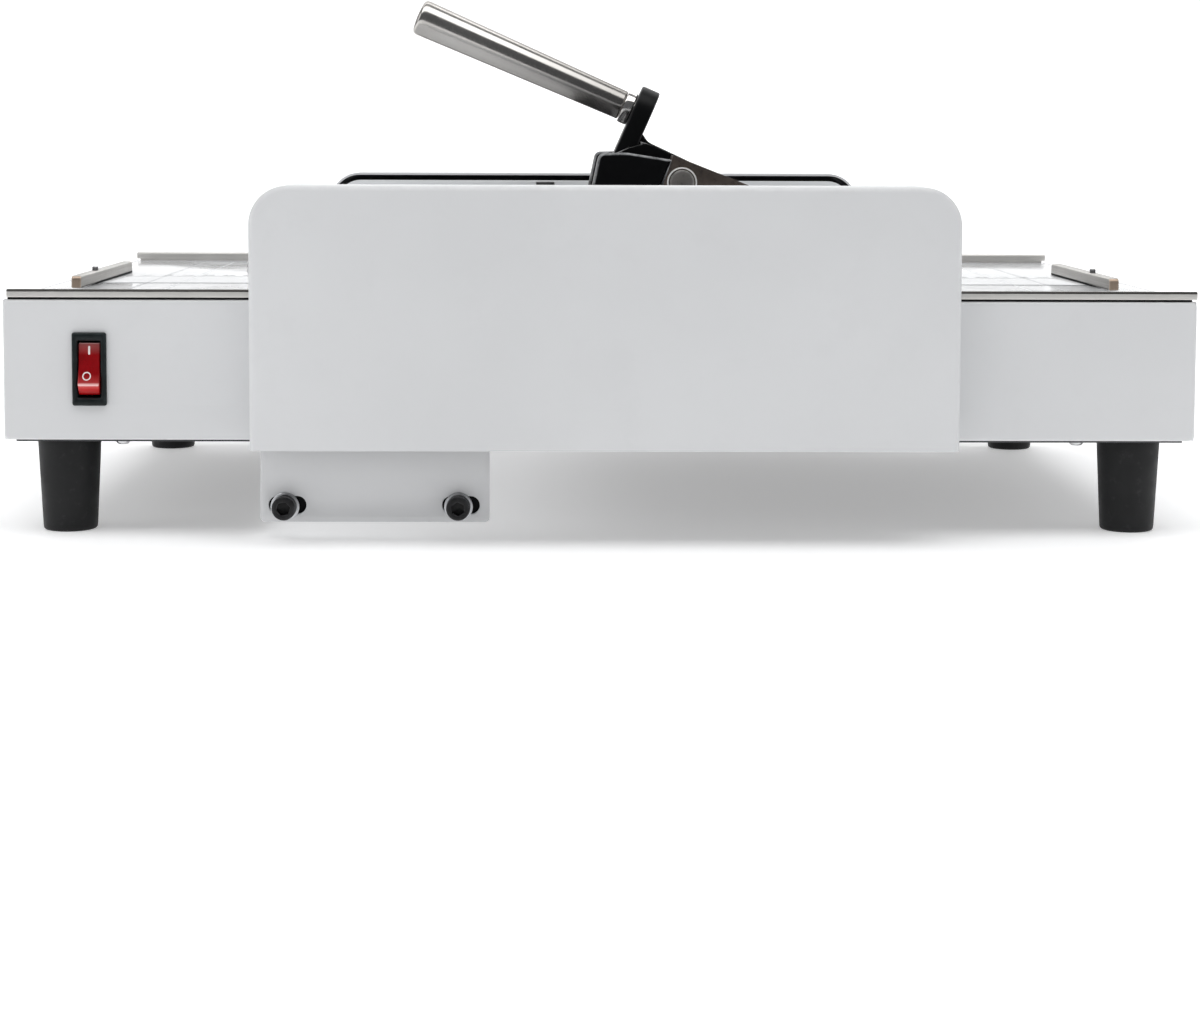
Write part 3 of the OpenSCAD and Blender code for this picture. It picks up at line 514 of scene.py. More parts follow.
class Shape:
    """Closed shells gathered into one mesh, with a point attribute for worn edges that also carries painted highlights.
    """

    def __init__(self):
        self.bm = bmesh.new()
        self.wear_and_highlight = self.bm.verts.layers.float.new("wear_and_highlight")
        self.thin = self.bm.verts.layers.float.new("thin")

    def v(self, co, wear_and_highlight=0.0, thin=0.0):
        q = self.bm.verts.new(co)
        q[self.wear_and_highlight] = wear_and_highlight
        q[self.thin] = thin
        return q

    def face(self, vs, mat=0):
        try:
            f = self.bm.faces.new(vs)
        except ValueError:
            return None
        f.material_index = mat
        return f

    def plate(self, loops, lo, hi, b0=0.3, b1=None, seg=3, xf=XY, mat=0, edge_mat=None, hole_b=None):
        """A plate from lo to hi with rounded edges: b0 at the lo face, b1 at the hi face, hole_b round its holes."""
        b1 = b0 if b1 is None else b1
        if b0 + b1 > (hi - lo) * 0.98:
            k = (hi - lo) * 0.98 / (b0 + b1)
            b0, b1 = b0 * k, b1 * k
        fixed = []
        for i, lp in enumerate(loops):
            ccw = area2(lp) > 0
            fixed.append(list(lp) if ccw == (i == 0) else list(reversed(lp)))

        def levels(b0, b1):
            steps = []
            for k in range(seg + 1):
                a = k / seg * PI / 2
                if b0 > 0:
                    steps.append((b0 * (1 - math.sin(a)), lo + b0 * (1 - math.cos(a)), math.sin(2 * a)))
            if b0 <= 0:
                steps.append((0.0, lo, 0.0))
            if b1 > 0:
                for k in range(seg + 1):
                    a = (1 - k / seg) * PI / 2
                    steps.append((b1 * (1 - math.sin(a)), hi - b1 * (1 - math.cos(a)), math.sin(2 * a)))
            else:
                steps.append((0.0, hi, 0.0))
            return steps
        first, last = [], []
        for i, lp in enumerate(fixed):
            steps = levels(b0, b1) if i == 0 or hole_b is None else levels(hole_b, hole_b)
            rows = []
            for d, w, wr in steps:
                pts = inset(lp, d)
                rows.append([self.v(xf(x, y, w), wr) for x, y in pts])
            for r0, r1 in zip(rows, rows[1:]):
                n = len(r0)
                for i in range(n):
                    self.face([r0[i], r0[(i + 1) % n], r1[(i + 1) % n], r1[i]], edge_mat if edge_mat is not None else mat)
            first.append((inset(lp, steps[0][0]), rows[0]))
            last.append((inset(lp, steps[-1][0]), rows[-1]))
        for group in (first, last):
            if len(group) == 1:
                self.face(group[0][1], mat)
                continue
            pts = [[Vector((x, y, 0)) for x, y in g[0]] for g in group]
            flat = [v for g in group for v in g[1]]
            for tri in tessellate_polygon(pts):
                self.face([flat[i] for i in tri], mat)
        return self

    def loft(self, rings, mat=0, cap0=True, cap1=True, wear_and_highlight=None, mats=None, closed=False):
        """Rings with the same number of points, joined by quads. The edge list gives each ring's edge value, for wear
        and painted highlights.
        """
        rows = [[self.v(co, wear_and_highlight[i] if wear_and_highlight else 0.0) for co in r] for i, r in enumerate(rings)]
        pairs = list(zip(rows, rows[1:])) + ([(rows[-1], rows[0])] if closed else [])
        for k, (r0, r1) in enumerate(pairs):
            n = len(r0)
            for i in range(n):
                self.face([r0[i], r0[(i + 1) % n], r1[(i + 1) % n], r1[i]], mats[k] if mats else mat)
        if not closed:
            if cap0:
                self.face(rows[0], mats[0] if mats else mat)
            if cap1:
                self.face(rows[-1], mats[-1] if mats else mat)
        return self

    def lathe(self, profile, xf, n=64, mat=0, mats=None, wear_and_highlight=None):
        """profile is (radius, height) from one end to the other. xf(u, v, w) places it, w along the axis."""
        rows = []
        for i, (r, h) in enumerate(profile):
            wr = wear_and_highlight[i] if wear_and_highlight else 0.0
            if r < 1e-6:
                rows.append([self.v(xf(0, 0, h), wr)])
            else:
                rows.append([self.v(xf(r * math.cos(2 * PI * k / n), r * math.sin(2 * PI * k / n), h), wr) for k in range(n)])
        for j, (r0, r1) in enumerate(zip(rows, rows[1:])):
            mt = mats[j] if mats else mat
            for i in range(n):
                a, b = r0[i % len(r0)], r0[(i + 1) % len(r0)]
                c, d = r1[(i + 1) % len(r1)], r1[i % len(r1)]
                vs = []
                for q in (a, b, c, d):
                    if q not in vs:
                        vs.append(q)
                if len(vs) > 2:
                    self.face(vs, mt)
        for row, mt in ((rows[0], mats[0] if mats else mat), (rows[-1], mats[-1] if mats else mat)):
            if len(row) > 1:
                self.face(row, mt)
        return self

    def tube(self, path, r, n=12, mat=0, up=Vector((0, 0, 1))):
        rings = []
        for i, p in enumerate(path):
            a, b = path[max(0, i - 1)], path[min(len(path) - 1, i + 1)]
            t = (b - a).normalized()
            s = t.cross(up)
            if s.length < 1e-4:
                s = t.cross(Vector((1, 0, 0)))
            s.normalize()
            w = s.cross(t).normalized()
            rings.append([p + s * (r * math.cos(2 * PI * k / n)) + w * (r * math.sin(2 * PI * k / n)) for k in range(n)])
        return self.loft(rings, mat)

    def done(self, name, body, mats, replaces=(), sharp=38):
        bm = self.bm
        bmesh.ops.remove_doubles(bm, verts=bm.verts, dist=1e-5)
        bmesh.ops.recalc_face_normals(bm, faces=bm.faces)
        me = bpy.data.meshes.new(name)
        bmesh.ops.scale(bm, vec=(MM, MM, MM), verts=bm.verts)
        bm.to_mesh(me)
        bm.free()
        return finish_mesh(me, name, body, mats, replaces, sharp)


def finish_mesh(me, name, body, mats, replaces=(), sharp=38):
    me.shade_smooth()
    me.set_sharp_from_angle(angle=rad(sharp))
    for m in mats:
        me.materials.append(m)
    ob = bpy.data.objects.new(name, me)
    bpy.context.scene.collection.objects.link(ob)
    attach(ob, body)
    if replaces:
        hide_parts(*replaces)
    return ob


def cut(ob, cutters):
    """Takes closed shapes away from a piece, for good."""
    for sh in cutters:
        bmesh.ops.recalc_face_normals(sh.bm, faces=sh.bm.faces)
        bmesh.ops.scale(sh.bm, vec=(MM, MM, MM), verts=sh.bm.verts)
        me = bpy.data.meshes.new("cutter")
        sh.bm.to_mesh(me)
        sh.bm.free()
        c = bpy.data.objects.new("cutter", me)
        bpy.context.scene.collection.objects.link(c)
        md = ob.modifiers.new("cut", "BOOLEAN")
        md.operation = "DIFFERENCE"
        md.solver = "EXACT"
        md.object = c
        dg = bpy.context.evaluated_depsgraph_get()
        new = bpy.data.meshes.new_from_object(ob.evaluated_get(dg))
        ob.modifiers.clear()
        mats = list(ob.data.materials)
        ob.data = new
        if len(new.materials) != len(mats):
            new.materials.clear()
            for m in mats:
                new.materials.append(m)
        bpy.data.objects.remove(c)
    return ob


def soften(ob, width=0.2, seg=2, angle=50, sharp=38):
    """Rounds the sharp edges of a finished mesh and marks them in the edge attribute that carries wear and painted
    highlights.
    """
    bm = bmesh.new()
    bm.from_mesh(ob.data)
    bmesh.ops.remove_doubles(bm, verts=bm.verts, dist=2e-7)
    soften_bm(bm, width, seg, angle)
    bm.to_mesh(ob.data)
    bm.free()
    ob.data.shade_smooth()
    ob.data.set_sharp_from_angle(angle=rad(sharp))
    return ob


def soften_bm(bm, width, seg, angle):
    layer = bm.verts.layers.float.get("wear_and_highlight") or bm.verts.layers.float.new("wear_and_highlight")
    edges = [e for e in bm.edges if len(e.link_faces) == 2 and e.calc_face_angle(0.0) > rad(angle)]
    if edges:
        res = bmesh.ops.bevel(bm, geom=edges, offset=width * MM, offset_type="OFFSET", segments=seg, profile=0.5,
                              affect="EDGES", clamp_overlap=True)
        new = set(res["faces"])
        for v in set(q for f in new for q in f.verts):
            if v.is_valid and all(f in new for f in v.link_faces):
                v[layer] = 1.0


def refine(node, mat, body=None, width=0.25, seg=2, angle=30, sharp=38, name=None):
    """A finished copy of a CAD node: one welded skin with rounded, slightly worn edges."""
    bm = bmesh.new()
    bm.from_mesh(NODE[node].data)
    for layer in list(bm.loops.layers.uv):
        bm.loops.layers.uv.remove(layer)
    bmesh.ops.remove_doubles(bm, verts=bm.verts, dist=2e-6)
    bmesh.ops.dissolve_limit(bm, angle_limit=rad(0.5), verts=bm.verts, edges=bm.edges)
    soften_bm(bm, width, seg, angle)
    for f in bm.faces:
        f.material_index = 0
    me = bpy.data.meshes.new(name or node + "_part")
    bm.to_mesh(me)
    bm.free()
    for a in [a for a in me.attributes if a.name == "custom_normal"]:
        me.attributes.remove(a)
    body = body or NODE[node]["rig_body"]
    return finish_mesh(me, name or node + "_part", body, [mat] if not isinstance(mat, (list, tuple)) else mat,
                       [node], sharp)


# ---------------------------------------------------------------- sizes, as in the construction
HL, HD = 250.0, 165.0
FOOT_H, BASE_Z, COVER_BASE, COVER_Z = 40.0, 41.2, 40.4, 148.4
TABLE_Z = 100.0
ROLL_Z, XL, XR = 75.0, -38.4, -13.6
PX, PZ = 115.0, 119.0
SW_X, SW_Z = -214.0, 71.0
COVER_X = 1.0          # the covers sit a little to the right of the middle
FOOT_X, FOOT_Y = 227.6, 140.0
FOLD_X = -26.0


def pan_outline(w, z0, z1, r, rb, seg=14):
    x0, x1 = COVER_X - w / 2, COVER_X + w / 2
    return rounded([(x0, z0, rb), (x1, z0, rb), (x1, z1, r), (x0, z1, r)], r, seg)


def side_of(s, f=XZ):
    """The front piece, or its mirror image at the back."""
    return f if s < 0 else mirror_y(f)


# ---------------------------------------------------------------- covers
def cover(s, name, node):
    xf = side_of(s)
    sh = Shape()
    # from the outer face at |Y| 195 to the open side at |Y| 165.2
    # it is drawn longer than it is, and cut off square at its open lower edge
    sh.plate([pan_outline(290, COVER_BASE - 9, COVER_Z, 16, 1.5)], -195.0, -165.2, 2.3, 0.25, 6, xf)
    ob = sh.done(name, "root", [WHITE, DARK_PAINT_AND_HOLLOW_SHADE], [node])
    inner = Shape()
    inner.plate([pan_outline(287.6, 20, COVER_Z - 1.2, 14.8, 0.5)], -193.8, -160.0, 1.1, 0.0, 4, xf)
    holes = Shape()
    for sx in (-1, 1):
        holes.plate([ring(-174.0, 114.0, 2.1, 24)], sx * 140.0 if sx > 0 else -150.0, 150.0 if sx > 0 else -140.0,
                    0.0, 0.0, 1, side_of(s, YZ))
    lower = Shape()
    lower.plate([rect(-160, 15, 160, COVER_BASE)], -200.0, -155.0, 0, 0, 1, xf)
    cut(ob, [inner, holes, lower])
    soften(ob, 0.2, 2, 55)
    # painted shade: the faces inside the hollow side get the dark paint, standing in for the shade deep in the pan
    mid = Vector((COVER_X * MM, s * 0.180, 0.095))
    for p in ob.data.polygons:
        c = p.center
        if (mid - c).dot(p.normal) > 0 and abs(c.x - mid.x) < 0.1443 and c.z < 0.1479 and 0.1660 < abs(c.y) < 0.1944:
            p.material_index = 1
    return ob


cover(-1, "front_cover_pan", "front_cover")
cover(1, "rear_cover_pan", "rear_cover")


# ---------------------------------------------------------------- long panels with their folded lower flange
def long_panel(s, name, node):
    """A folded sheet: the face with a soft bend all round, and the flange at its foot."""
    loops = [rect(-HL, BASE_Z, HL, TABLE_Z, 2.2, 8)]
    for x in (XL, XR):
        loops.append(ring(x, ROLL_Z, 10.8, 48))
    if s < 0:
        loops.append(rect(SW_X - 6.4, SW_Z - 14, SW_X + 6.4, SW_Z + 14, 0.4, 3))
    else:
        loops.append(rect(-213.8, 60, -186.2, 80, 0.4, 3))
    sh = Shape()
    sh.plate(loops, -HD, -HD + 1.2, 1.05, 0.1, 6, side_of(s), hole_b=0.15)
    # the flange is cut away over the booklet's way out, and drilled for the base screws
    y0, y1 = -HD + 0.7, -HD + 19.1
    fl = rounded([(-HL + 2, y0), (HL - 2, y0), (HL - 2, y1), (-10, y1), (-10, -158.6), (-104, -158.6), (-104, y1), (-HL + 2, y1)], 0.8, 4)
    drilled = [ring(sx * x, -y, 1.6, 20) for sx in (-1, 1) for x, y in ((203, 150), (110, 153))]
    sh.plate([fl] + drilled, BASE_Z, BASE_Z + 1.2, 0.3, 0.3, 3, side_of(s, XY), hole_b=0.12)
    return sh.done(name, "root", [WHITE], [node])


long_panel(-1, "front_panel_sheet", "front_panel")
long_panel(1, "rear_panel_sheet", "rear_panel")
for n in ("left_end_panel", "right_end_panel"):
    refine(n, WHITE, width=0.35, seg=3)
refine("base_plate", DARK_PAINT_AND_HOLLOW_SHADE, width=0.3)
for n in ("front_frame_plate", "rear_frame_plate"):
    refine(n, INNER, width=0.35, seg=3)


# ---------------------------------------------------------------- edge strips: a folded stainless rail with a leg inside
def strip(s, name, node, x0):
    lp = rounded([(-165.0, 100.95, 0.4), (-162.0, 100.95, 0.3), (-162.0, 104.4, 1.15), (-165.0, 104.4, 1.25)], 0.4, 8)
    sh = Shape()
    sh.plate([lp], x0, HL, 0.3, 0.3, 3, side_of(s, YZ), 0)
    # painted shade: the front rail's leg gets the black bolt finish, standing in for the shadow in the gap under the
    # rail
    sh.plate([rounded([(-163.6, 92.0, 0.5), (-162.0, 92.0, 0.5), (-162.0, 101.2, 0.1), (-163.6, 101.2, 0.1)], 0.4, 4)],
             -HL + 1.9, HL - 1.9, 0.2, 0.2, 2, side_of(s, YZ), 2 if s < 0 else 0)
    ob = sh.done(name, "root", [STAINLESS, PAINTED_SHADE_STEEL, BOLT_OXIDE_AND_GAP_SHADE], [node])
    # painted reflection: the front rail's two upper bends get the dark steel, standing in for the dark surroundings
    # they reflect
    for p in ob.data.polygons:
        if s < 0 and 0.12 < p.normal.z < 0.985 and abs(p.normal.y) > 0.1 and p.center.z > 0.1030:
            p.material_index = 1
    return ob


strip(-1, "front_edge_strip_rail", "front_edge_strip", -248.3)
strip(1, "rear_edge_strip_rail", "rear_edge_strip", -250.0)


# ---------------------------------------------------------------- table boards and their printed guide lines
def board(name, node, x0, x1, slot_x, notches):
    sh = Shape()
    loops = [rect(x0, -161.8, x1, 161.8, 0.6, 3)]
    loops.append(slot_loop(slot_x[0], slot_x[1], -46.0, 4.4, 12))
    if notches:
        for t in (-1, 1):
            loops.append(rect(-14.2, t * 60 - 12.2, 6.2, t * 60 + 12.2, 0.5, 3))
    sh.plate(loops, TABLE_Z - 5, TABLE_Z, 0.3, 0.3, 3, XY)
    ob = sh.done(name, "root", [TABLE, CORE], [node])
    # the slot is milled through the laminate, so its walls show the grey-green core
    for p in ob.data.polygons:
        x, y, _ = p.center
        if abs(p.normal.z) < 0.9 and abs(y + 0.046) < 0.0035 and 0.151 < abs(x) < 0.239:
            p.material_index = 1
    return ob


board("left_table_board", "left_table", -248.6, -30.0, (-237, -153), False)
board("right_table_board", "right_table", -22.0, 248.6, (153, 237), True)
PRINT_Z0, PRINT_Z1 = TABLE_Z - 0.05, TABLE_Z + 0.035


def line(sh, x0, y0, x1, y1, w, mat=0):
    """A printed line as a thin raised film."""
    a, b = Vector((x0, y0)), Vector((x1, y1))
    d = (b - a).normalized()
    n = Vector((-d.y, d.x)) * (w / 2)
    pts = [a - n, b - n, b + n, a + n]
    lo = [sh.v(Vector((p.x, p.y, PRINT_Z0))) for p in pts]
    hi = [sh.v(Vector((p.x, p.y, PRINT_Z1))) for p in pts]
    sh.face(list(reversed(lo)), mat)
    sh.face(hi, mat)
    for i in range(4):
        sh.face([lo[i], lo[(i + 1) % 4], hi[(i + 1) % 4], hi[i]], mat)


SEGMENTS = {"0": "abcdef", "1": "bc", "2": "abged", "3": "abgcd", "4": "fgbc", "5": "afgcd", "6": "afgedc",
            "7": "abc", "8": "abcdefg", "9": "abcdfg"}


def number(sh, text, x, y, h, mat=0, flip=False):
    """Plain ruler figures drawn with short printed strokes."""
    w, gap = h * 0.52, h * 0.26
    total = len(text) * w + (len(text) - 1) * gap
    for i, ch in enumerate(text):
        ox = x - total / 2 + i * (w + gap)
        c = {"a": ((0, h), (w, h)), "b": ((w, h), (w, h / 2)), "c": ((w, h / 2), (w, 0)), "d": ((0, 0), (w, 0)),
             "e": ((0, 0), (0, h / 2)), "f": ((0, h / 2), (0, h)), "g": ((0, h / 2), (w, h / 2))}
        if ch == ".":
            line(sh, ox + w / 2, y, ox + w / 2 + 0.01, y + 0.5, 0.5, mat)
            continue
        for k in SEGMENTS[ch]:
            (ax, ay), (bx, by) = c[k]
            e = 0.16
            dx, dy = (bx - ax), (by - ay)
            ln = math.hypot(dx, dy)
            ax, ay, bx, by = ax - dx / ln * e, ay - dy / ln * e, bx + dx / ln * e, by + dy / ln * e
            line(sh, ox + ax, y + ay, ox + bx, y + by, 0.36, mat)


def print_half(sx, name):
    """The guide lines of one wing. sx is -1 for the left wing and 1 for the right one."""
    sh = Shape()
    inner = 31.5 if sx < 0 else 20.5

    def ln(x0, y0, x1, y1, w=0.45, mat=0):
        line(sh, sx * x0, y0, sx * x1, y1, w, mat)
    # sheet outlines about the middle of the machine: large, medium and small sheets
    for px_, py_, w, mat in ((210.0, 148.5, 0.55, 0), (194.0, 135.0, 0.4, 1), (148.5, 105.0, 0.55, 0), (128.5, 91.0, 0.4, 1)):
        ln(px_, -py_, px_, -49.5 if 150 < px_ else py_, w, mat)
        if px_ > 150:
            ln(px_, -42.5, px_, py_, w, mat)
        for t in (-1, 1):
            ln(inner, t * py_, px_, t * py_, w, mat)
            # short corner marks past the outline
            ln(px_, t * py_, px_ + 5.0, t * py_, w, mat)
            ln(px_, t * py_, px_, t * (py_ + 5.0), w, mat)
    # lines that run out from the corners of the small sheet to those of the large one
    for t in (-1, 1):
        ln(148.5, t * 105.0, 210.0, t * 148.5, 0.4, 1)
        ln(102.0, t * 72.0, 148.5, t * 105.0, 0.4, 1)
    # ruler at the middle of the depth
    ln(inner if sx > 0 else 33.0, 7.0, 245.0, 7.0, 0.5, 0)
    for k in range(40, 245, 2):
        if k % 10 == 0:
            ln(k, 7.2, k, 13.0, 0.35, 0)
        elif k % 10 == 5:
            pass
        else:
            ln(k, 7.2, k, 9.6, 0.22, 0)
    for k in range(40, 250, 10):
        if k <= 240:
            number(sh, str(k * 2 // 10), sx * k, 14.6, 4.2, 0)
    return sh.done(name, "root", [INK_GREY, INK_PALE], ())


print_half(-1, "left_table_print")
print_half(1, "right_table_print")


# ---------------------------------------------------------------- screws
def cross_r(c, s, w, ln):
    c, s = abs(c) + 1e-9, abs(s) + 1e-9
    return max(min(ln / c, w / s), min(w / c, ln / s))


def cross_angles(w, ln, per=3):
    a = math.atan2(w, ln)
    keys = []
    for q in range(4):
        b = q * PI / 2
        keys += [b - a, b, b + a, b + PI / 4]
    out = []
    for i, k in enumerate(keys):
        nxt = keys[(i + 1) % len(keys)] + (2 * PI if i == len(keys) - 1 else 0)
        out += [k + (nxt - k) * j / per for j in range(per)]
    return out


def pan_screw(sh, xf, r=4.2, h=2.6, depth=1.5, shank_r=1.5, shank=6.0, mat=0, dome=0.5):
    """Pan head with a cross recess. w runs up from the seat."""
    ang = cross_angles(0.16 * r, 0.58 * r)
    circ = lambda rr, z: [xf(rr * math.cos(a), rr * math.sin(a), z) for a in ang]
    crs = lambda k, z: [xf(cross_r(math.cos(a), math.sin(a), 0.16 * r * k, 0.58 * r * k) * math.cos(a),
                           cross_r(math.cos(a), math.sin(a), 0.16 * r * k, 0.58 * r * k) * math.sin(a), z) for a in ang]
    rings, wear_and_highlight = [], []

    def add(rg, w=0.0):
        rings.append(rg)
        wear_and_highlight.append(w)
    if shank > 0:
        add(circ(shank_r * 0.6, -shank)), add(circ(shank_r, -shank + 0.6)), add(circ(shank_r, -0.02))
    add(circ(r * 0.96, 0.0)), add(circ(r, 0.12), 0.6), add(circ(r, h * 0.38)), add(circ(r * 0.97, h * 0.55), 0.5)
    add(circ(r * 0.88, h * 0.78), 0.5), add(circ(r * 0.76, h * 0.92), 0.2), add(circ(r * 0.66, h * 0.985))
    add(crs(1.06, h), 0.6), add(crs(0.97, h - 0.15), 0.3), add(crs(0.62, h - depth)), add(crs(0.30, h - depth - 0.25))
    sh.loft(rings, mat, True, True, wear_and_highlight)


def along(origin, direction, up=Vector((0, 0, 1))):
    """Places w along direction from origin."""
    d = Vector(direction).normalized()
    u = d.cross(up)
    if u.length < 1e-4:
        u = d.cross(Vector((1, 0, 0)))
    u.normalize()
    v = d.cross(u).normalized()
    o = Vector(origin)
    return lambda a, b, c: o + u * a + v * b + d * c


def screws():
    sh = Shape()
    for sx in (-1, 1):
        for sy in (-1, 1):
            k = 0.6 + 0.9 * (sx > 0) + 0.5 * (sy > 0)
            up = Vector((0, math.sin(k), math.cos(k)))
            pan_screw(sh, along((COVER_X + sx * 145.05, sy * 174.0, 114.0), (sx, 0, 0), up), 4.15, 2.5, 1.5, 1.5, 6.5)
            for px_, py_ in ((203, 150), (110, 153)):
                up2 = Vector((math.cos(k * px_), math.sin(k * px_), 0))
                pan_screw(sh, along((sx * px_, sy * py_, FOOT_H - 0.05), (0, 0, -1), up2), 3.0, 2.2, 1.2, 1.45, 2.0)
            # foot screw, head up inside the hollow of the foot
            pan_screw(sh, along((sx * FOOT_X, sy * FOOT_Y, 8.0), (0, 0, -1), Vector((1, 0, 0))), 4.4, 2.4, 1.4, 2.45, 38.5)
    return sh.done("housing_screws_set", "root", [SCREW], ["housing_screws"], 30)


screws()


# ---------------------------------------------------------------- feet
def arc_pts(cx, cy, r, a0, a1, k):
    return [(cx + r * math.cos(rad(a0 + (a1 - a0) * i / k)), cy + r * math.sin(rad(a0 + (a1 - a0) * i / k))) for i in range(k + 1)]


def feet():
    sh = Shape()
    for sx in (-1, 1):
        for sy in (-1, 1):
            xf = placed(Matrix.Translation(Vector((sx * FOOT_X, sy * FOOT_Y, 0))))
            p = [(2.6, 8.0), (5.2, 8.0), (5.5, 7.6), (5.5, 0.5), (5.9, 0.0), (10.1, 0.0)]
            p += arc_pts(10.05, 1.35, 1.35, -80, -4, 6)
            p += [(11.52, 2.4), (11.70, 6.0), (12.25, 17.0), (12.8, 28.0), (13.23, 36.6)]
            p += [(13.32, 38.7), (13.26, 39.4), (12.9, 39.85), (12.3, 39.98), (2.6, 39.98)]
            rows = []
            n = 72
            for r, z in p:
                rows.append([xf(r * math.cos(2 * PI * k / n), r * math.sin(2 * PI * k / n), z) for k in range(n)])
            sh.loft(rows, 0, closed=True, wear_and_highlight=[0.0, 0, 0, 0, 0.4, 0.3] + [0.3, 0.6, 0.8, 0.8, 0.6, 0.4, 0.2] + [0.0] * (len(p) - 13))
    return sh.done("feet_moulded", "root", [FOOT], ["feet"], 50)


feet()


# ---------------------------------------------------------------- exit brackets, chute and their bolts
def exit_bracket(s, name, node):
    sh = Shape()
    loops = [rounded([(-142.6, 7.2, 2.0), (-46.9, 7.2, 2.0), (-46.9, 57.2, 1.2), (-142.6, 57.2, 1.2)], 1.2, 6)]
    for x in (-131.4, -58.9):
        loops.append(slot_loop(x - 4.1, x + 4.1, 14.4, 7.5, 14))
    sh.plate(loops, -168.9, -167.3, 0.28, 0.28, 3, side_of(s))
    return sh.done(name, "root", [BRACKET], [node])


exit_bracket(-1, "front_exit_bracket_plate", "front_exit_bracket")
exit_bracket(1, "rear_exit_bracket_plate", "rear_exit_bracket")
refine("exit_chute", BRACKET, width=0.3)


def hex_r(a, flat):
    m = (a % (PI / 3)) - PI / 6
    return flat / math.cos(m)


def cap_bolts():
    sh = Shape()
    for sy in (-1, 1):
        for i, x in enumerate((-132.4, -59.9)):
            base = Vector((x, sy * (HD + 3.95), 13.8))
            xf = along(base, (0, sy, 0))
            turn = rad(11 + 23 * i + 7 * (sy > 0))
            # plain washer, bright
            n = 60
            rows = [(3.2, 0.0), (5.75, 0.0), (6.0, 0.22), (6.0, 0.95), (5.75, 1.2), (3.2, 1.2)]
            sh.loft([[xf(r * math.cos(2 * PI * k / n), r * math.sin(2 * PI * k / n), h) for k in range(n)] for r, h in rows],
                    1, closed=True, wear_and_highlight=[0, 0.3, 0.8, 0.8, 0.3, 0])
            # socket head with fine knurling
            n = 96
            an = [2 * PI * k / n + turn for k in range(n)]
            kn = lambda r, h, d=0.0: [xf((r - d * (k % 2)) * math.cos(a), (r - d * (k % 2)) * math.sin(a), h) for k, a in enumerate(an)]
            hx = lambda f, h: [xf(hex_r(a - turn, f) * math.cos(a), hex_r(a - turn, f) * math.sin(a), h) for a in an]
            rings = [kn(1.9, -8.4), kn(2.6, -8.3), kn(3.0, -7.8), kn(3.0, 1.2), kn(4.7, 1.24), kn(4.95, 1.5), kn(5.0, 1.8, 0.16),
                     kn(5.0, 6.3, 0.16), kn(4.93, 6.75), kn(4.7, 7.1), kn(4.4, 7.25), kn(3.3, 7.25), hx(2.62, 7.2), hx(2.5, 7.0),
                     hx(2.5, 4.3), kn(0.9, 3.7)]
            wear_and_highlight = [0, 0, 0, 0, 0, 0.3, 0.5, 0.5, 0.9, 0.9, 0.4, 0.1, 0.5, 0.2, 0, 0]
            sh.loft(rings, 0, True, True, wear_and_highlight)
            # thread crests behind
            for q in range(7):
                z = -7.6 + q * 0.9
                rows = [(2.9, z), (3.12, z + 0.3), (3.12, z + 0.42), (2.9, z + 0.72)]
                sh.loft([[xf(r * math.cos(2 * PI * k / 40), r * math.sin(2 * PI * k / 40), h) for k in range(40)] for r, h in rows],
                        0, closed=True)
            # nut inside the bracket
            n = 60
            an = [2 * PI * k / n for k in range(n)]
            hexr = lambda f, h: [xf(hex_r(a, f) * math.cos(a), hex_r(a, f) * math.sin(a), h) for a in an]
            cir = lambda r, h: [xf(r * math.cos(a), r * math.sin(a), h) for a in an]
            mixr = lambda f, h, lim: [xf(min(hex_r(a, f), lim) * math.cos(a), min(hex_r(a, f), lim) * math.sin(a), h) for a in an]
            sh.loft([cir(3.05, -8.3), cir(4.7, -8.3), mixr(4.93, -8.05, 5.3), hexr(4.93, -7.7), hexr(4.93, -4.6), mixr(4.93, -4.25, 5.3),
                     cir(4.7, -4.0), cir(3.05, -4.0)], 2, closed=True, wear_and_highlight=[0, 0, 0.6, 0.6, 0.6, 0.6, 0, 0])
        # black oval washers between the bracket's slots and the chute's flanges
        for x in (-131.4, -58.9):
            sh.plate([slot_loop(x - 4.4, x + 4.4, 14.4, 10.2, 14)], -167.27, -166.93, 0.08, 0.08, 1, side_of(sy), 3)
    return sh.done("bracket_bolts_set", "root", [BOLT_OXIDE_AND_GAP_SHADE, ZINC, BOLT_OXIDE_AND_GAP_SHADE, SEAL_AND_SHADOW_STRIP], ["bracket_bolts"], 30)


cap_bolts()


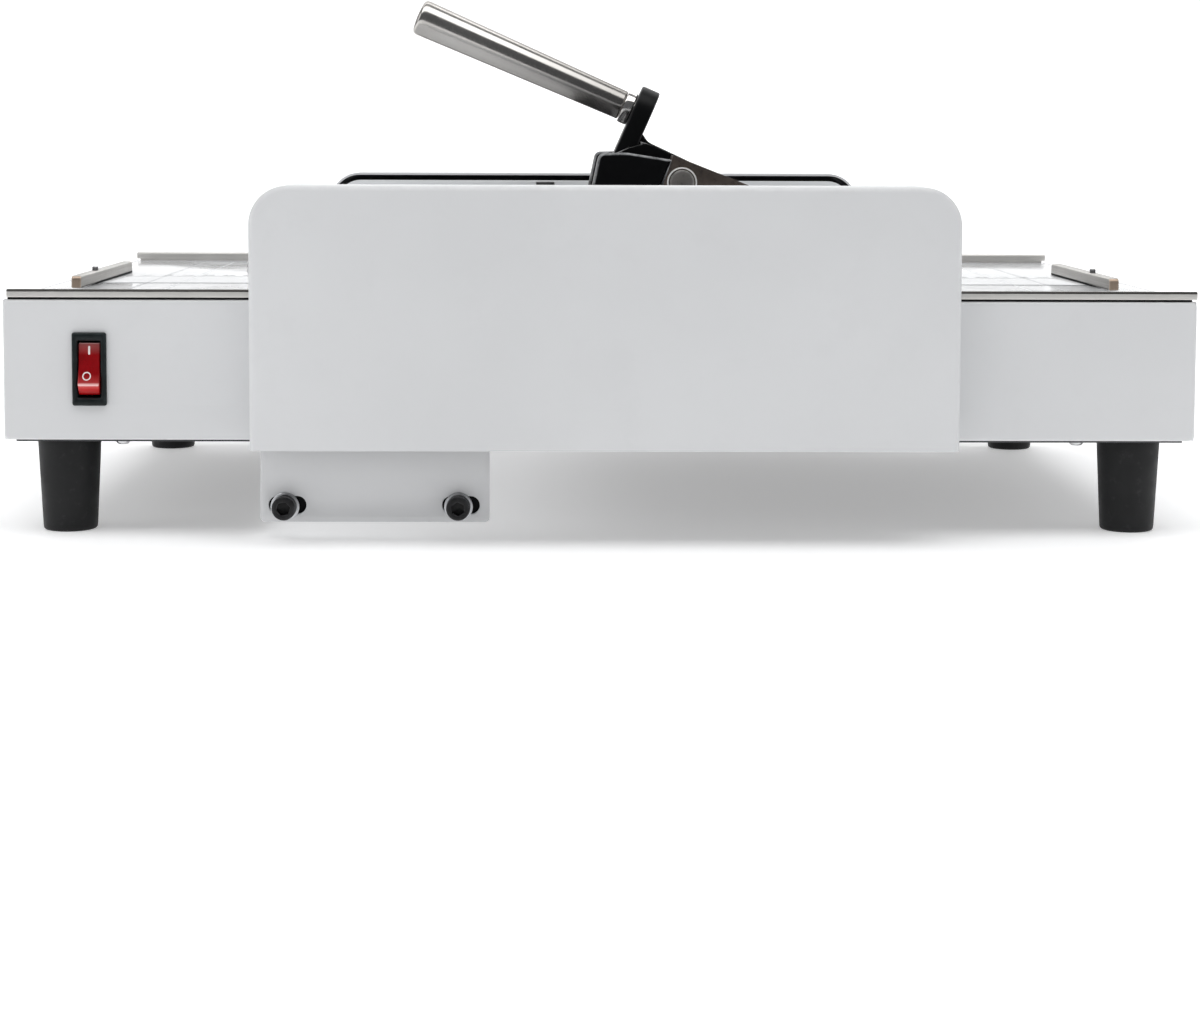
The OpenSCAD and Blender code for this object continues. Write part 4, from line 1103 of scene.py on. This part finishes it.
# ---------------------------------------------------------------- switch
def switch():
    sh = Shape()
    x0, x1, z0, z1 = SW_X - 7.15, SW_X + 7.15, SW_Z - 15.35, SW_Z + 15.35
    wx, wz = 4.7, 11.8

    def rg(dx, dz, y, r=0.9):
        lp = rounded([(SW_X - dx, SW_Z - dz), (SW_X + dx, SW_Z - dz), (SW_X + dx, SW_Z + dz), (SW_X - dx, SW_Z + dz)], r, 6)
        return [Vector((u, y, v)) for u, v in lp]
    rings = [rg(6.2, 13.6, -145.1), rg(6.2, 13.6, -165.0), rg(6.9, 15.1, -165.05, 0.8), rg(7.15, 15.35, -165.3, 1.0), rg(7.15, 15.35, -166.0, 1.0),
             rg(6.95, 15.15, -166.5, 0.9), rg(6.6, 14.8, -166.85, 0.8), rg(6.1, 14.1, -167.0, 0.8), rg(5.5, 12.9, -166.95, 0.7),
             rg(5.1, 12.25, -166.6, 0.6), rg(4.85, 11.95, -166.1, 0.6), rg(4.7, 11.8, -165.4, 0.5), rg(4.7, 11.8, -157.6, 0.5)]
    wear_and_highlight = [0, 0, 0, 0.2, 0.2, 0.9, 0.9, 0.3, 0.4, 0.8, 0.5, 0.1, 0]
    sh.loft(rings, 0, True, True, wear_and_highlight)
    # two solder tags at the back
    for z in (SW_Z - 7.0, SW_Z + 0.5, SW_Z + 8.0):
        sh.plate([rect(SW_X - 2.4, z - 0.4, SW_X + 2.4, z + 0.4, 0.15, 2)], -145.2, -138.5, 0.15, 0.3, 2, XZ, 1)
    return sh.done("switch_housing_bezel", "root", [BEZEL, BRASS], ["switch_housing"])


switch()


def rocker():
    """The rocker, pressed in at its upper end. Its side outline is turned about a line along X behind the panel."""
    sh = Shape()
    px0, pz0 = -HD + 3.4, SW_Z
    # outline points as (height above the pivot, depth in front of it), taken round the section
    face = [(10.9, -3.45), (10.4, -3.62), (6.0, -4.0), (2.0, -4.45), (-2.0, -5.55), (-5.4, -6.95), (-6.0, -7.22), (-6.35, -7.30),
            (-6.75, -7.18), (-7.0, -6.9), (-8.4, -5.9), (-10.0, -4.9), (-10.6, -4.3), (-10.8, -3.6)]
    # painted light: the thin list lifts the red where the rocker is thin, standing in for light passing through it; the
    # next list paints a highlight along the ridge and the top edge
    thin = [0.25, 0.15, 0.1, 0.05, 0.1, 0.35, 0.6, 0.8, 1.0, 1.0, 0.75, 0.35, 0.2, 0.1]
    wear_and_highlight = [0.55, 0.12, 0, 0, 0, 0.05, 0.55, 1.0, 0.8, 0.1, 0, 0, 0, 0]
    back = [(-2.0, 3.2), (2.0, 3.2), (10.9, 0.5)]
    pts = face + back
    tt = thin + [0, 0, 0]
    ww = wear_and_highlight + [0, 0, 0]
    rows = []
    for dx, k in ((-4.4, 0.94), (-4.25, 0.985), (-4.0, 1.0), (4.0, 1.0), (4.25, 0.985), (4.4, 0.94)):
        row = []
        for (h, d), t, w in zip(pts, tt, ww):
            row.append(sh.v(Vector((SW_X + dx, px0 + d * (k if d < 0 else 1.0), pz0 + h * (0.5 + 0.5 * k))), w * (1 if abs(dx) < 4.3 else 0.4), t))
        rows.append(row)
    for r0, r1 in zip(rows, rows[1:]):
        n = len(r0)
        for i in range(n):
            sh.face([r0[i], r0[(i + 1) % n], r1[(i + 1) % n], r1[i]])
    sh.face(rows[0]), sh.face(rows[-1])
    ob = sh.done("rocker_button", "rocker", [RED], ["rocker"], 60)
    # the two marks, as thin inlays that stand on the face
    mk = Shape()

    def on_face(h):
        for (h0, d0), (h1, d1) in zip(face, face[1:]):
            if h1 <= h <= h0:
                t = (h0 - h) / (h0 - h1)
                return d0 + (d1 - d0) * t
        return face[-1][1]
    # bar
    for lo, hi, w in ((6.1, 9.7, 0.42),):
        k = 8
        a, b = [], []
        for i in range(k + 1):
            h = hi + (lo - hi) * i / k
            ww = w * (1.0 if 0 < i < k else 0.7)
            a.append((SW_X - ww, px0 + on_face(h) - 0.05, pz0 + h))
            b.append((SW_X + ww, px0 + on_face(h) - 0.05, pz0 + h))
        out = [Vector(p) for p in a] + [Vector(p) for p in reversed(b)]
        inn = [p + Vector((0, 0.12, 0)) for p in out]
        mk.loft([inn, out])
    # ring
    n = 48
    zc, xc = -2.8, SW_X - 0.8
    rings = []
    for rr, dy in ((1.32, 0.1), (1.32, -0.05), (1.80, -0.05), (1.80, 0.1)):
        row = []
        for i in range(n):
            a = 2 * PI * i / n
            h = zc + rr * 0.98 * math.sin(a)
            row.append(Vector((xc + rr * math.cos(a), px0 + on_face(h) + dy, pz0 + h)))
        rings.append(row)
    mk.loft(rings, closed=True)
    mk.done("rocker_marks", "rocker", [MARK_WHITE], ())
    return ob


rocker()


# ---------------------------------------------------------------- power inlet at the back, left wing
def inlet():
    sh = Shape()
    y = HD + 0.05
    cx, cz = -200.0, 70.0
    out = rounded([(cx - 25, cz), (cx - 14.5, cz - 12.5), (cx + 14.5, cz - 12.5), (cx + 25, cz), (cx + 14.5, cz + 12.5), (cx - 14.5, cz + 12.5)], 4.2, 8)
    mouth = rounded([(cx - 12, cz - 8), (cx + 12, cz - 8), (cx + 12, cz + 4.2), (cx + 8.2, cz + 8), (cx - 8.2, cz + 8), (cx - 12, cz + 4.2)], 1.6, 5)
    sh.plate([out, list(mouth), ring(cx - 20, cz, 1.75, 24), ring(cx + 20, cz, 1.75, 24)], y, y + 2.6, 0.15, 0.7, 4, XZ)
    # shroud wall behind the flange, and its floor
    shell = rounded([(cx - 13.6, cz - 9.8), (cx + 13.6, cz - 9.8), (cx + 13.6, cz + 5.2), (cx + 9.2, cz + 9.8), (cx - 9.2, cz + 9.8), (cx - 13.6, cz + 5.2)], 2.0, 5)
    sh.plate([shell, list(mouth)], HD - 16.4, y + 0.3, 0.2, 0.0, 2, XZ)
    sh.plate([shell], HD - 21.0, HD - 16.0, 0.5, 0.0, 3, XZ)
    # three flat pins and three tags behind
    for p in ((cx, cz + 2.8), (cx - 7, cz - 2.6), (cx + 7, cz - 2.6)):
        sh.plate([rect(p[0] - 1, p[1] - 2, p[0] + 1, p[1] + 2, 0.35, 4)], HD - 16.5, HD - 3.5, 0.0, 0.7, 3, XZ, 1)
        sh.plate([rect(p[0] - 0.4, p[1] - 2.4, p[0] + 0.4, p[1] + 2.4, 0.15, 2)], HD - 28.5, HD - 20.8, 0.15, 0.1, 2, XZ, 2)
    for sx in (-1, 1):
        pan_screw(sh, along((cx + sx * 20, y + 2.55, cz), (0, 1, 0), Vector((0.6 * sx, 0, 1))), 2.9, 1.9, 1.1, 1.5, 5.0, 3)
    return sh.done("power_inlet_socket", "root", [BLACK, NICKEL, BRASS, SCREW], ["power_inlet"])


inlet()


# ---------------------------------------------------------------- bare rating plate with its thin black border
def rating():
    sh = Shape()
    lp = rect(148.0, 42.0, 249.4, 99.0, 0.8, 4)
    sh.plate([lp], HD + 0.02, HD + 0.40, 0.02, 0.12, 2, XZ)
    outer = rounded([(150.2, 44.2), (247.2, 44.2), (247.2, 96.8), (150.2, 96.8)], 8.0, 10)
    inner = rounded([(150.9, 44.9), (246.5, 44.9), (246.5, 96.1), (150.9, 96.1)], 7.3, 10)
    sh.loft([[Vector((u, y, v)) for u, v in q] for q, y in
             ((outer, HD + 0.25), (outer, HD + 0.46), (inner, HD + 0.46), (inner, HD + 0.25))], 1, closed=True)
    return sh.done("rating_plate_bare", "root", [SILVER, INK_BLACK], ["rating_plate"])


rating()

# ---------------------------------------------------------------- lever: arm, collar, grip
TILT = rad(23.8)
ARM = Matrix.Translation(Vector((21.2, 0, 179.7))) @ Matrix.Rotation(TILT, 4, "Y")
GRIP_M = Matrix.Translation(Vector((16.9, 0, 181.6))) @ Matrix.Rotation(rad(-66.65), 4, "Y")


def build_lever_arm():
    sh = Shape()
    # upright flat arm with a round top: outline in the arm's Y,Z and 9 mm thick along its X
    arc = [(12.5 * math.cos(PI * i / 28), 12.5 * math.sin(PI * i / 28)) for i in range(29)]
    out = arc + [(-12.5, -33.0), (-13.4, -35.5), (-15.2, -36.6), (15.2, -36.6), (13.4, -35.5), (12.5, -33.0)]
    sh.plate([clean(out), ring(0, 0, 4.02, 32)], -4.5, 4.5, 0.8, 0.8, 4, placed(ARM, YZ))
    # bridge between the two channels, notched at its ends round the pin heads
    top = [(4.5, 152.0, 1.2), (8.0, 160.4, 1.2), (14.0, 163.2, 2.0), (22.0, 165.4, 1.0), (26.0, 163.9, 3.0), (58.0, 149.6, 1.0),
           (55.6, 144.2, 1.0)]
    sh.plate([rounded(top + [(9.0, 149.0, 1.5)], 1.0, 5)], -46.2, 46.2, 0.0, 0.0, 1, XZ)
    notch = [(37.7 + 7.0 * math.cos(rad(a)), 147.9 + 7.0 * math.sin(rad(a)), 0.0) for a in
             [-20.8 + (189.75 + 20.8) * k / 18 for k in range(19)]]
    for t in (-1, 1):
        sh.plate([clean(rounded(top + notch + [(9.0, 149.0, 1.5)], 1.0, 5))], 46.2, 47.9, 0.0, 0.12, 1,
                 XZ if t > 0 else mirror_y(XZ))
    # rib from the back of the arm down to the bridge: its upper edge falls steeply, then runs with the bridge
    up = [(20.6, 171.0), (21.6, 170.2), (22.4, 169.1), (23.6, 167.3), (24.7, 166.1), (26.2, 165.2), (37.4, 160.0), (52.0, 153.2)]
    low = [(50.0, 148.6), (22.0, 158.0), (16.0, 162.0)]
    sh.plate([clean(rounded([(x, z, 0.3) for x, z in up + low], 0.3, 3))], -4.2, 4.2, 0.7, 0.7, 4, XZ)
    # raised edge along each end of the bridge, in the black casting whose light edge colour is a painted highlight
    for t in (-1, 1):
        up2 = [(19.4, 166.3), (22.0, 165.6), (26.7, 163.5), (34.3, 160.0), (53.0, 151.4)]
        sh.plate([clean([(x, z) for x, z in up2] + [(51.5, 150.4), (21.0, 161.5)])], 44.0, 47.85, 0.3, 0.7, 3,
                 XZ if t > 0 else mirror_y(XZ), 1)
    return sh.done("lever_arm_casting", "press", [CAST, CAST_EDGE_HIGHLIGHT], ["lever_arm"], 42)


build_lever_arm()


def collar():
    sh = Shape()
    p = [(0.0, -9.4), (3.3, -9.4), (4.0, -8.7), (4.0, 0.0), (7.5, 0.02), (8.0, 0.4), (8.1, 0.9), (8.1, 4.1), (7.9, 4.6), (7.4, 4.9), (0.0, 4.9)]
    sh.lathe(p, placed(GRIP_M), 72, wear_and_highlight=[0, 0.3, 0.3, 0, 0.2, 0.8, 0.4, 0.4, 0.8, 0.3, 0])
    return sh.done("lever_collar_turned", "press", [POLISHED], ["lever_collar"], 30)


collar()


def grip():
    sh = Shape()
    L = 107.0
    p = [(0.0, 5.0), (6.2, 5.0), (6.75, 5.12), (7.0, 5.45), (7.03, 6.0)]
    for i in range(1, 25):
        t = i / 25
        p.append((7.03 + (8.60 - 7.03) * t, 6.0 + (L + 5 - 3.4 - 6.0) * t))
    p += [(8.60, L + 5 - 3.4), (8.55, L + 5 - 2.2), (8.35, L + 5 - 1.4), (7.95, L + 5 - 0.8), (7.2, L + 5 - 0.35), (5.6, L + 5 - 0.02),
          (3.4, L + 5 + 0.2), (1.6, L + 5 + 0.28), (0.0, L + 5 + 0.3)]
    sh.lathe(p, placed(GRIP_M), 96)
    return sh.done("lever_grip_turned", "press", [GRIP], ["lever_grip"], 50)


grip()


# ---------------------------------------------------------------- stapler heads, channels, pins
def head(y0, name, node):
    sh = Shape()
    body = rounded([(-3.6, 143.6, 0.6), (0.1, 160.9, 3.2), (13.0, 161.25, 9.0), (33.4, 158.0, 0.6), (26.6, 139.6, 0.5), (24.4, 137.3, 0.5)], 0.6, 8)
    sh.plate([body], y0 - 12.0, y0 + 12.0, 1.15, 1.15, 5, XZ)
    # tongue that goes into the channel, with its pin hole
    tg = rounded([(24.0, 137.4), (30.0, 157.2), (33.5, 157.2), (45.5, 152.4), (44.0, 136.0), (36.0, 134.8)], 0.8, 4)
    sh.plate([tg, ring(37.7, 147.9, 4.02, 40)], y0 - 9.4, y0 + 9.4, 0.4, 0.4, 2, XZ)
    return sh.done(name, "press", [HEAD], [node], 42)


head(-60, "front_stapler_head_block", "front_stapler_head")
head(60, "rear_stapler_head_block", "rear_stapler_head")
for n in ("front_press_channel", "rear_press_channel"):
    refine(n, GUNMETAL, width=0.55, seg=3)


def pins():
    sh = Shape()
    for y0 in (-60, 60):
        xf = along((37.7, y0, 147.9), (0, -1, 0))
        for s in (-1, 1):
            f = (lambda a, b, c, s=s, xf=xf: xf(a, b * s, c * s))
            # pin head: shallow dish with a turned rim
            p = [(0.0, 12.0), (4.0, 12.0), (5.3, 12.45), (5.6, 12.6), (5.6, 13.25), (5.35, 13.6), (4.9, 13.7), (4.5, 13.62), (1.2, 13.55), (0.0, 13.55)]
            sh.lathe(p, f, 64, 0, wear_and_highlight=[0, 0, 0, 0.2, 0.7, 0.9, 0.5, 0.1, 0, 0])
            n = 72
            rows = [(6.1, 11.65), (6.5, 11.65), (6.8, 11.8), (6.85, 12.1), (6.7, 12.42), (6.45, 12.5), (6.2, 12.45), (6.1, 12.3)]
            sh.loft([[f(r * math.cos(2 * PI * k / n), r * math.sin(2 * PI * k / n), h) for k in range(n)] for r, h in rows],
                    1, closed=True, wear_and_highlight=[0, 0.4, 0.8, 1, 1, 0.6, 0.2, 0])
        sh.lathe([(0, -12.2), (4.0, -12.2), (4.0, 12.2), (0, 12.2)], xf, 48, 0)
    return sh.done("head_pins_set", "press", [PIN, RING], ["head_pins"], 32)


pins()
refine("staple_drivers", TOOL, width=0.12)
for n in ("front_magazine", "rear_magazine"):
    refine(n, NICKEL, width=0.22, seg=2)
for n in ("front_pusher", "rear_pusher"):
    refine(n, BLACK, width=0.5, seg=3)


# ---------------------------------------------------------------- pivot shaft, bushes, springs
def shaft():
    sh = Shape()
    xf = along((PX, 0, PZ), (0, 1, 0))
    p = [(0.0, -167.6), (1.6, -167.4), (1.9, -167.8), (6.9, -167.8), (8.0, -166.7), (8.0, 166.7), (6.9, 167.8), (1.9, 167.8), (1.6, 167.4), (0.0, 167.6)]
    sh.lathe(p, xf, 64, wear_and_highlight=[0, 0, 0.2, 0.6, 0.6, 0.6, 0.6, 0.2, 0, 0])
    return sh.done("press_shaft_ground", "root", [GROUND], ["press_shaft"], 30)


shaft()


def bushes():
    sh = Shape()
    for s in (-1, 1):
        xf = along((PX, 0, PZ), (0, s, 0))
        rows = [(8.02, 152.0), (9.0, 152.0), (9.4, 152.4), (9.4, 154.6), (11.4, 154.8), (12.2, 155.3), (12.5, 156.0), (12.5, 163.9), (12.3, 164.7), (11.8, 165.1), (8.02, 165.1)]
        n = 72
        sh.loft([[xf(r * math.cos(2 * PI * k / n), r * math.sin(2 * PI * k / n), h) for k in range(n)] for r, h in rows],
                0, closed=True, wear_and_highlight=[0, 0.4, 0.4, 0, 0.2, 0.8, 0.8, 0.3, 0.3, 0.2, 0])
    return sh.done("shaft_bushes_moulded", "root", [BLACK], ["shaft_bushes"], 30)


bushes()


def helix(sh, cx, cy, cz, axis, r, w, turns, h, closed_ends=0.6, per=40, n=14, mat=0):
    """Round wire on a helix, with its end turns closed up."""
    xf = along((cx, cy, cz), axis, Vector((1, 0, 0)))
    pts = []
    total = int(turns * per)
    for i in range(total + 1):
        t = i / total
        a = 2 * PI * turns * t
        ends = closed_ends / turns
        if t < ends:
            s = 0.0 + t * 0.35
        elif t > 1 - ends:
            s = 1.0 - (1 - t) * 0.35
        else:
            u = (t - ends) / (1 - 2 * ends)
            s = ends * 0.35 + u * (1 - 2 * ends * 0.35)
        pts.append(xf(r * math.cos(a), r * math.sin(a), w + (h - 2 * w) * s))
    ax = Vector(axis).normalized()
    rings = []
    for i, p in enumerate(pts):
        a, b = pts[max(0, i - 1)], pts[min(len(pts) - 1, i + 1)]
        t = (b - a).normalized()
        s = t.cross(ax).normalized()
        q = s.cross(t).normalized()
        rings.append([p + s * (w * math.cos(2 * PI * k / n)) + q * (w * math.sin(2 * PI * k / n)) for k in range(n)])
    sh.loft(rings, mat)


def press_springs():
    sh = Shape()
    for s in (-1, 1):
        helix(sh, PX, 76 if s > 0 else -98, PZ, (0, 1, 0), 10.6, 1.1, 6, 22)
    return sh.done("press_springs_wire", "press", [SPRING], ["press_springs"], 60)


press_springs()


def knife_springs():
    sh = Shape()
    for s in (-1, 1):
        helix(sh, FOLD_X, s * 180, 98.1, (0, 0, 1), 6.4, 0.5, 7, 35.7)
    ob = sh.done("knife_springs_wire", "root", [SPRING], ["knife_springs"], 60)
    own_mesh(ob)
    return ob


knife_springs()

# ---------------------------------------------------------------- fold unit and drive
refine("fold_knife", TOOL, width=0.15)
refine("knife_carrier", OXIDE, width=0.4, seg=2)
refine("solenoid_plungers", ZINC_BRIGHT, width=0.3)
refine("solenoids", COIL, width=0.5)
refine("gearmotor", MOTOR, width=0.6)
refine("slot_rails", ZINC, width=0.4)
refine("staple_anvils", TOOL, width=0.25)
for n in ("left_roller_gear", "right_roller_gear"):
    refine(n, NYLON, width=0.08, angle=50)
for n in ("drive_gear", "motor_pinion"):
    refine(n, GEARSTEEL, width=0.08, angle=50)


def rollers():
    for side_name, x in (("left", XL), ("right", XR)):
        body = side_name + "_roller"
        xf = along((x, 0, ROLL_Z), (0, 1, 0))
        sh = Shape()
        p = [(0.0, -169.0), (4.4, -169.0), (5.0, -168.4), (5.0, -149.0), (7.6, -149.0), (8.0, -148.6), (8.0, 148.6), (7.6, 149.0), (5.0, 149.0),
             (5.0, 168.4), (4.4, 169.0), (0.0, 169.0)]
        sh.lathe(p, xf, 64, wear_and_highlight=[0, 0.5, 0.5, 0, 0.5, 0.5, 0.5, 0.5, 0, 0.5, 0.5, 0])
        sh.done(side_name + "_roller_shaft_turned", body, [GROUND], [side_name + "_roller_shaft"], 30)
        sh = Shape()
        rows = [(8.02, -148.5), (11.2, -148.5), (11.85, -148.2), (12.0, -147.5)]
        for k in range(-12, 13):
            y = k * 12.0
            rows += [(12.0, y - 0.5), (11.75, y - 0.3), (11.75, y + 0.3), (12.0, y + 0.5)]
        rows += [(12.0, 147.5), (11.85, 148.2), (11.2, 148.5), (8.02, 148.5)]
        n = 72
        sh.loft([[xf(r * math.cos(2 * PI * k / n), r * math.sin(2 * PI * k / n), h) for k in range(n)] for r, h in rows], 0, closed=True)
        sh.done(side_name + "_roller_sleeve_ground", body, [RUBBER], [side_name + "_roller_sleeve"], 30)


rollers()
refine("roller_bearings", GROUND, width=0.35)


# ---------------------------------------------------------------- paper stops
def stop_bar(sx, x0, name, node, body):
    """A flat bar on edge, its ends rounded in the upright plane and sawn, its long edges eased."""
    sh = Shape()
    m = (lambda u, v, w: Vector((sx * w, u, v)))
    lp = rounded([(-91.0, 100.3, 0.5), (40.0, 100.3, 0.5), (40.0, 105.8, 2.4), (-91.0, 105.8, 1.9)], 1.0, 8)
    sh.plate([lp], x0, x0 + 4.6, 0.75, 0.6, 4, m)
    ob = sh.done(name, body, [STAINLESS_Y, RAW_CUT, PAINTED_SHADE_STEEL], [node])
    # painted shadow: a thin black strip under the rear part of the bar stands in for the shadow in the gap under it
    shade_sheet = Shape()
    shade_sheet.plate([rounded([(-55.0, 100.12, 0.05), (39.2, 100.12, 0.05), (39.2, 101.05, 0.1), (-44.0, 100.95, 0.1)], 0.1, 2)],
               x0 - 0.1, x0 + 4.7, 0.05, 0.05, 1, m)
    shade_sheet.done(name.replace("_bar_rail", "_painted_shadow_strip"), body, [SEAL_AND_SHADOW_STRIP], (), 30)
    drill = Shape()
    drill.plate([ring(sx * (x0 + 2.3), -46.0, 1.55, 24)], 98.0, 108.0, 0, 0, 1, XY)
    cut(ob, [drill])
    ob.data.shade_smooth()
    ob.data.set_sharp_from_angle(angle=rad(38))
    for p in ob.data.polygons:
        if abs(p.normal.y) > 0.6 and (p.center.y < -0.0890 or p.center.y > 0.0380):
            p.material_index = 1
        # painted shade: the lower faces of the bar's rear part get the dark steel, standing in for the shadow under the
        # bar
        elif p.normal.z < -0.2 and p.center.z < 0.1011 and p.center.y > -0.050:
            p.material_index = 2
    return ob


stop_bar(-1, 231.3, "left_stop_bar_rail", "left_stop_bar", "left_stop")
stop_bar(1, 229.0, "right_stop_bar_rail", "right_stop_bar", "right_stop")


def stop_screw(sx, x0, name, node, body):
    sh = Shape()
    xf = lambda u, v, w: Vector((sx * (x0 + 2.3 + u), -46.0 + v, w))
    p = [(0.0, 91.0), (2.0, 91.0), (2.0, 99.9), (1.48, 100.2), (1.48, 105.6)]
    z = 105.6
    while z < 107.0:
        p += [(1.5, z), (1.28, z + 0.25), (1.5, z + 0.5)]
        z += 0.5
    p += [(1.2, 107.55), (0.0, 107.6)]
    sh.lathe(p, xf, 32)
    sh.plate([rect(-6, -5, 6, 5, 0.8, 4)], 91.0, 94.6, 0.4, 0.4, 3, xf)
    return sh.done(name, body, [STUD], [node], 40)


stop_screw(-1, 231.3, "left_stop_screw_stud", "left_stop_screw", "left_stop")
stop_screw(1, 229.0, "right_stop_screw_stud", "right_stop_screw", "right_stop")

# ---------------------------------------------------------------- stage: pale floor, soft studio light
def stage():
    def floor_mat():
        m = Mat("stage_pale")
        m.put(spec=0.12)
        m.color(m.mix(m.range(m.noise(1.3, 2.0, 0.5), 0.3, 0.7), (0.885, 0.888, 0.892), (0.905, 0.907, 0.910)))
        m.p.inputs["Roughness"].default_value = 0.75
        # a light table: the floor glows faintly, which opens up the shadow under the machine
        m.p.inputs["Emission Color"].default_value = (1.0, 1.0, 1.0, 1.0)
        m.p.inputs["Emission Strength"].default_value = 0.34
        return m.m
    sh = Shape()
    prof = [(-1.15, 0.0), (-0.6, 0.0), (0.0, 0.0), (0.8, 0.0), (1.5, 0.0)]
    for i in range(1, 13):
        a = rad(-90 + 90 * i / 12)
        prof.append((1.5 + 0.9 * math.cos(a), 0.9 + 0.9 * math.sin(a)))
    prof += [(2.4, 2.2), (2.4, 3.2)]
    rows = [[Vector((x * 1000, y * 1000, z * 1000)) for x in (-3.2, -1.6, 0.0, 1.6, 3.2)] for y, z in prof]
    vs = [[sh.v(p) for p in r] for r in rows]
    for r0, r1 in zip(vs, vs[1:]):
        for i in range(4):
            sh.face([r0[i], r0[i + 1], r1[i + 1], r1[i]])
    bm = sh.bm
    bmesh.ops.scale(bm, vec=(MM, MM, MM), verts=bm.verts)
    me = bpy.data.meshes.new("studio_floor")
    bm.to_mesh(me)
    bm.free()
    me.materials.append(floor_mat())
    me.shade_smooth()
    ob = bpy.data.objects.new("studio_floor", me)
    bpy.context.scene.collection.objects.link(ob)


stage()


def area(name, loc, target, size, power, color=(1, 1, 1), spread=None):
    d = bpy.data.lights.new(name, "AREA")
    d.shape = "RECTANGLE"
    d.size, d.size_y = size
    d.energy = power
    d.color = color
    if spread:
        d.spread = rad(spread)
    o = bpy.data.objects.new(name, d)
    bpy.context.scene.collection.objects.link(o)
    o.location = loc
    o.rotation_euler = (Vector(target) - Vector(loc)).to_track_quat("-Z", "Y").to_euler()
    return o


area("key_soft", (0.0, -0.62, 1.75), (0.0, 0.0, 0.05), (2.6, 1.25), 23.0)
area("overhead_weak", (0.0, 0.95, 1.75), (0.0, 0.0, 0.05), (2.6, 1.3), 4.6)
fill = area("front_fill", (-0.3, -2.4, 0.70), (0.0, 0.0, 0.04), (2.8, 0.9), 7.5)
fill.visible_glossy = False
area("left_soft", (-2.0, -0.5, 0.9), (0.0, 0.0, 0.1), (1.4, 1.4), 7.0)
area("right_soft", (2.0, -0.4, 0.9), (0.0, 0.0, 0.1), (1.4, 1.4), 4.0)
rear = area("rear_fill", (0.2, 1.30, 0.62), (0.0, 0.0, 0.02), (2.8, 0.7), 3.0)
rear.visible_glossy = False
rear.visible_camera = False
area("back_wash", (0.0, 1.25, 2.2), (0.0, 2.3, 0.7), (3.4, 0.8), 27.0)

world = bpy.data.worlds.new("studio_world")
bpy.context.scene.world = world
world.use_nodes = True
wt = world.node_tree
bg = wt.nodes["Background"]
bg.inputs["Color"].default_value = (0.80, 0.82, 0.85, 1)
bg.inputs["Strength"].default_value = 0.15
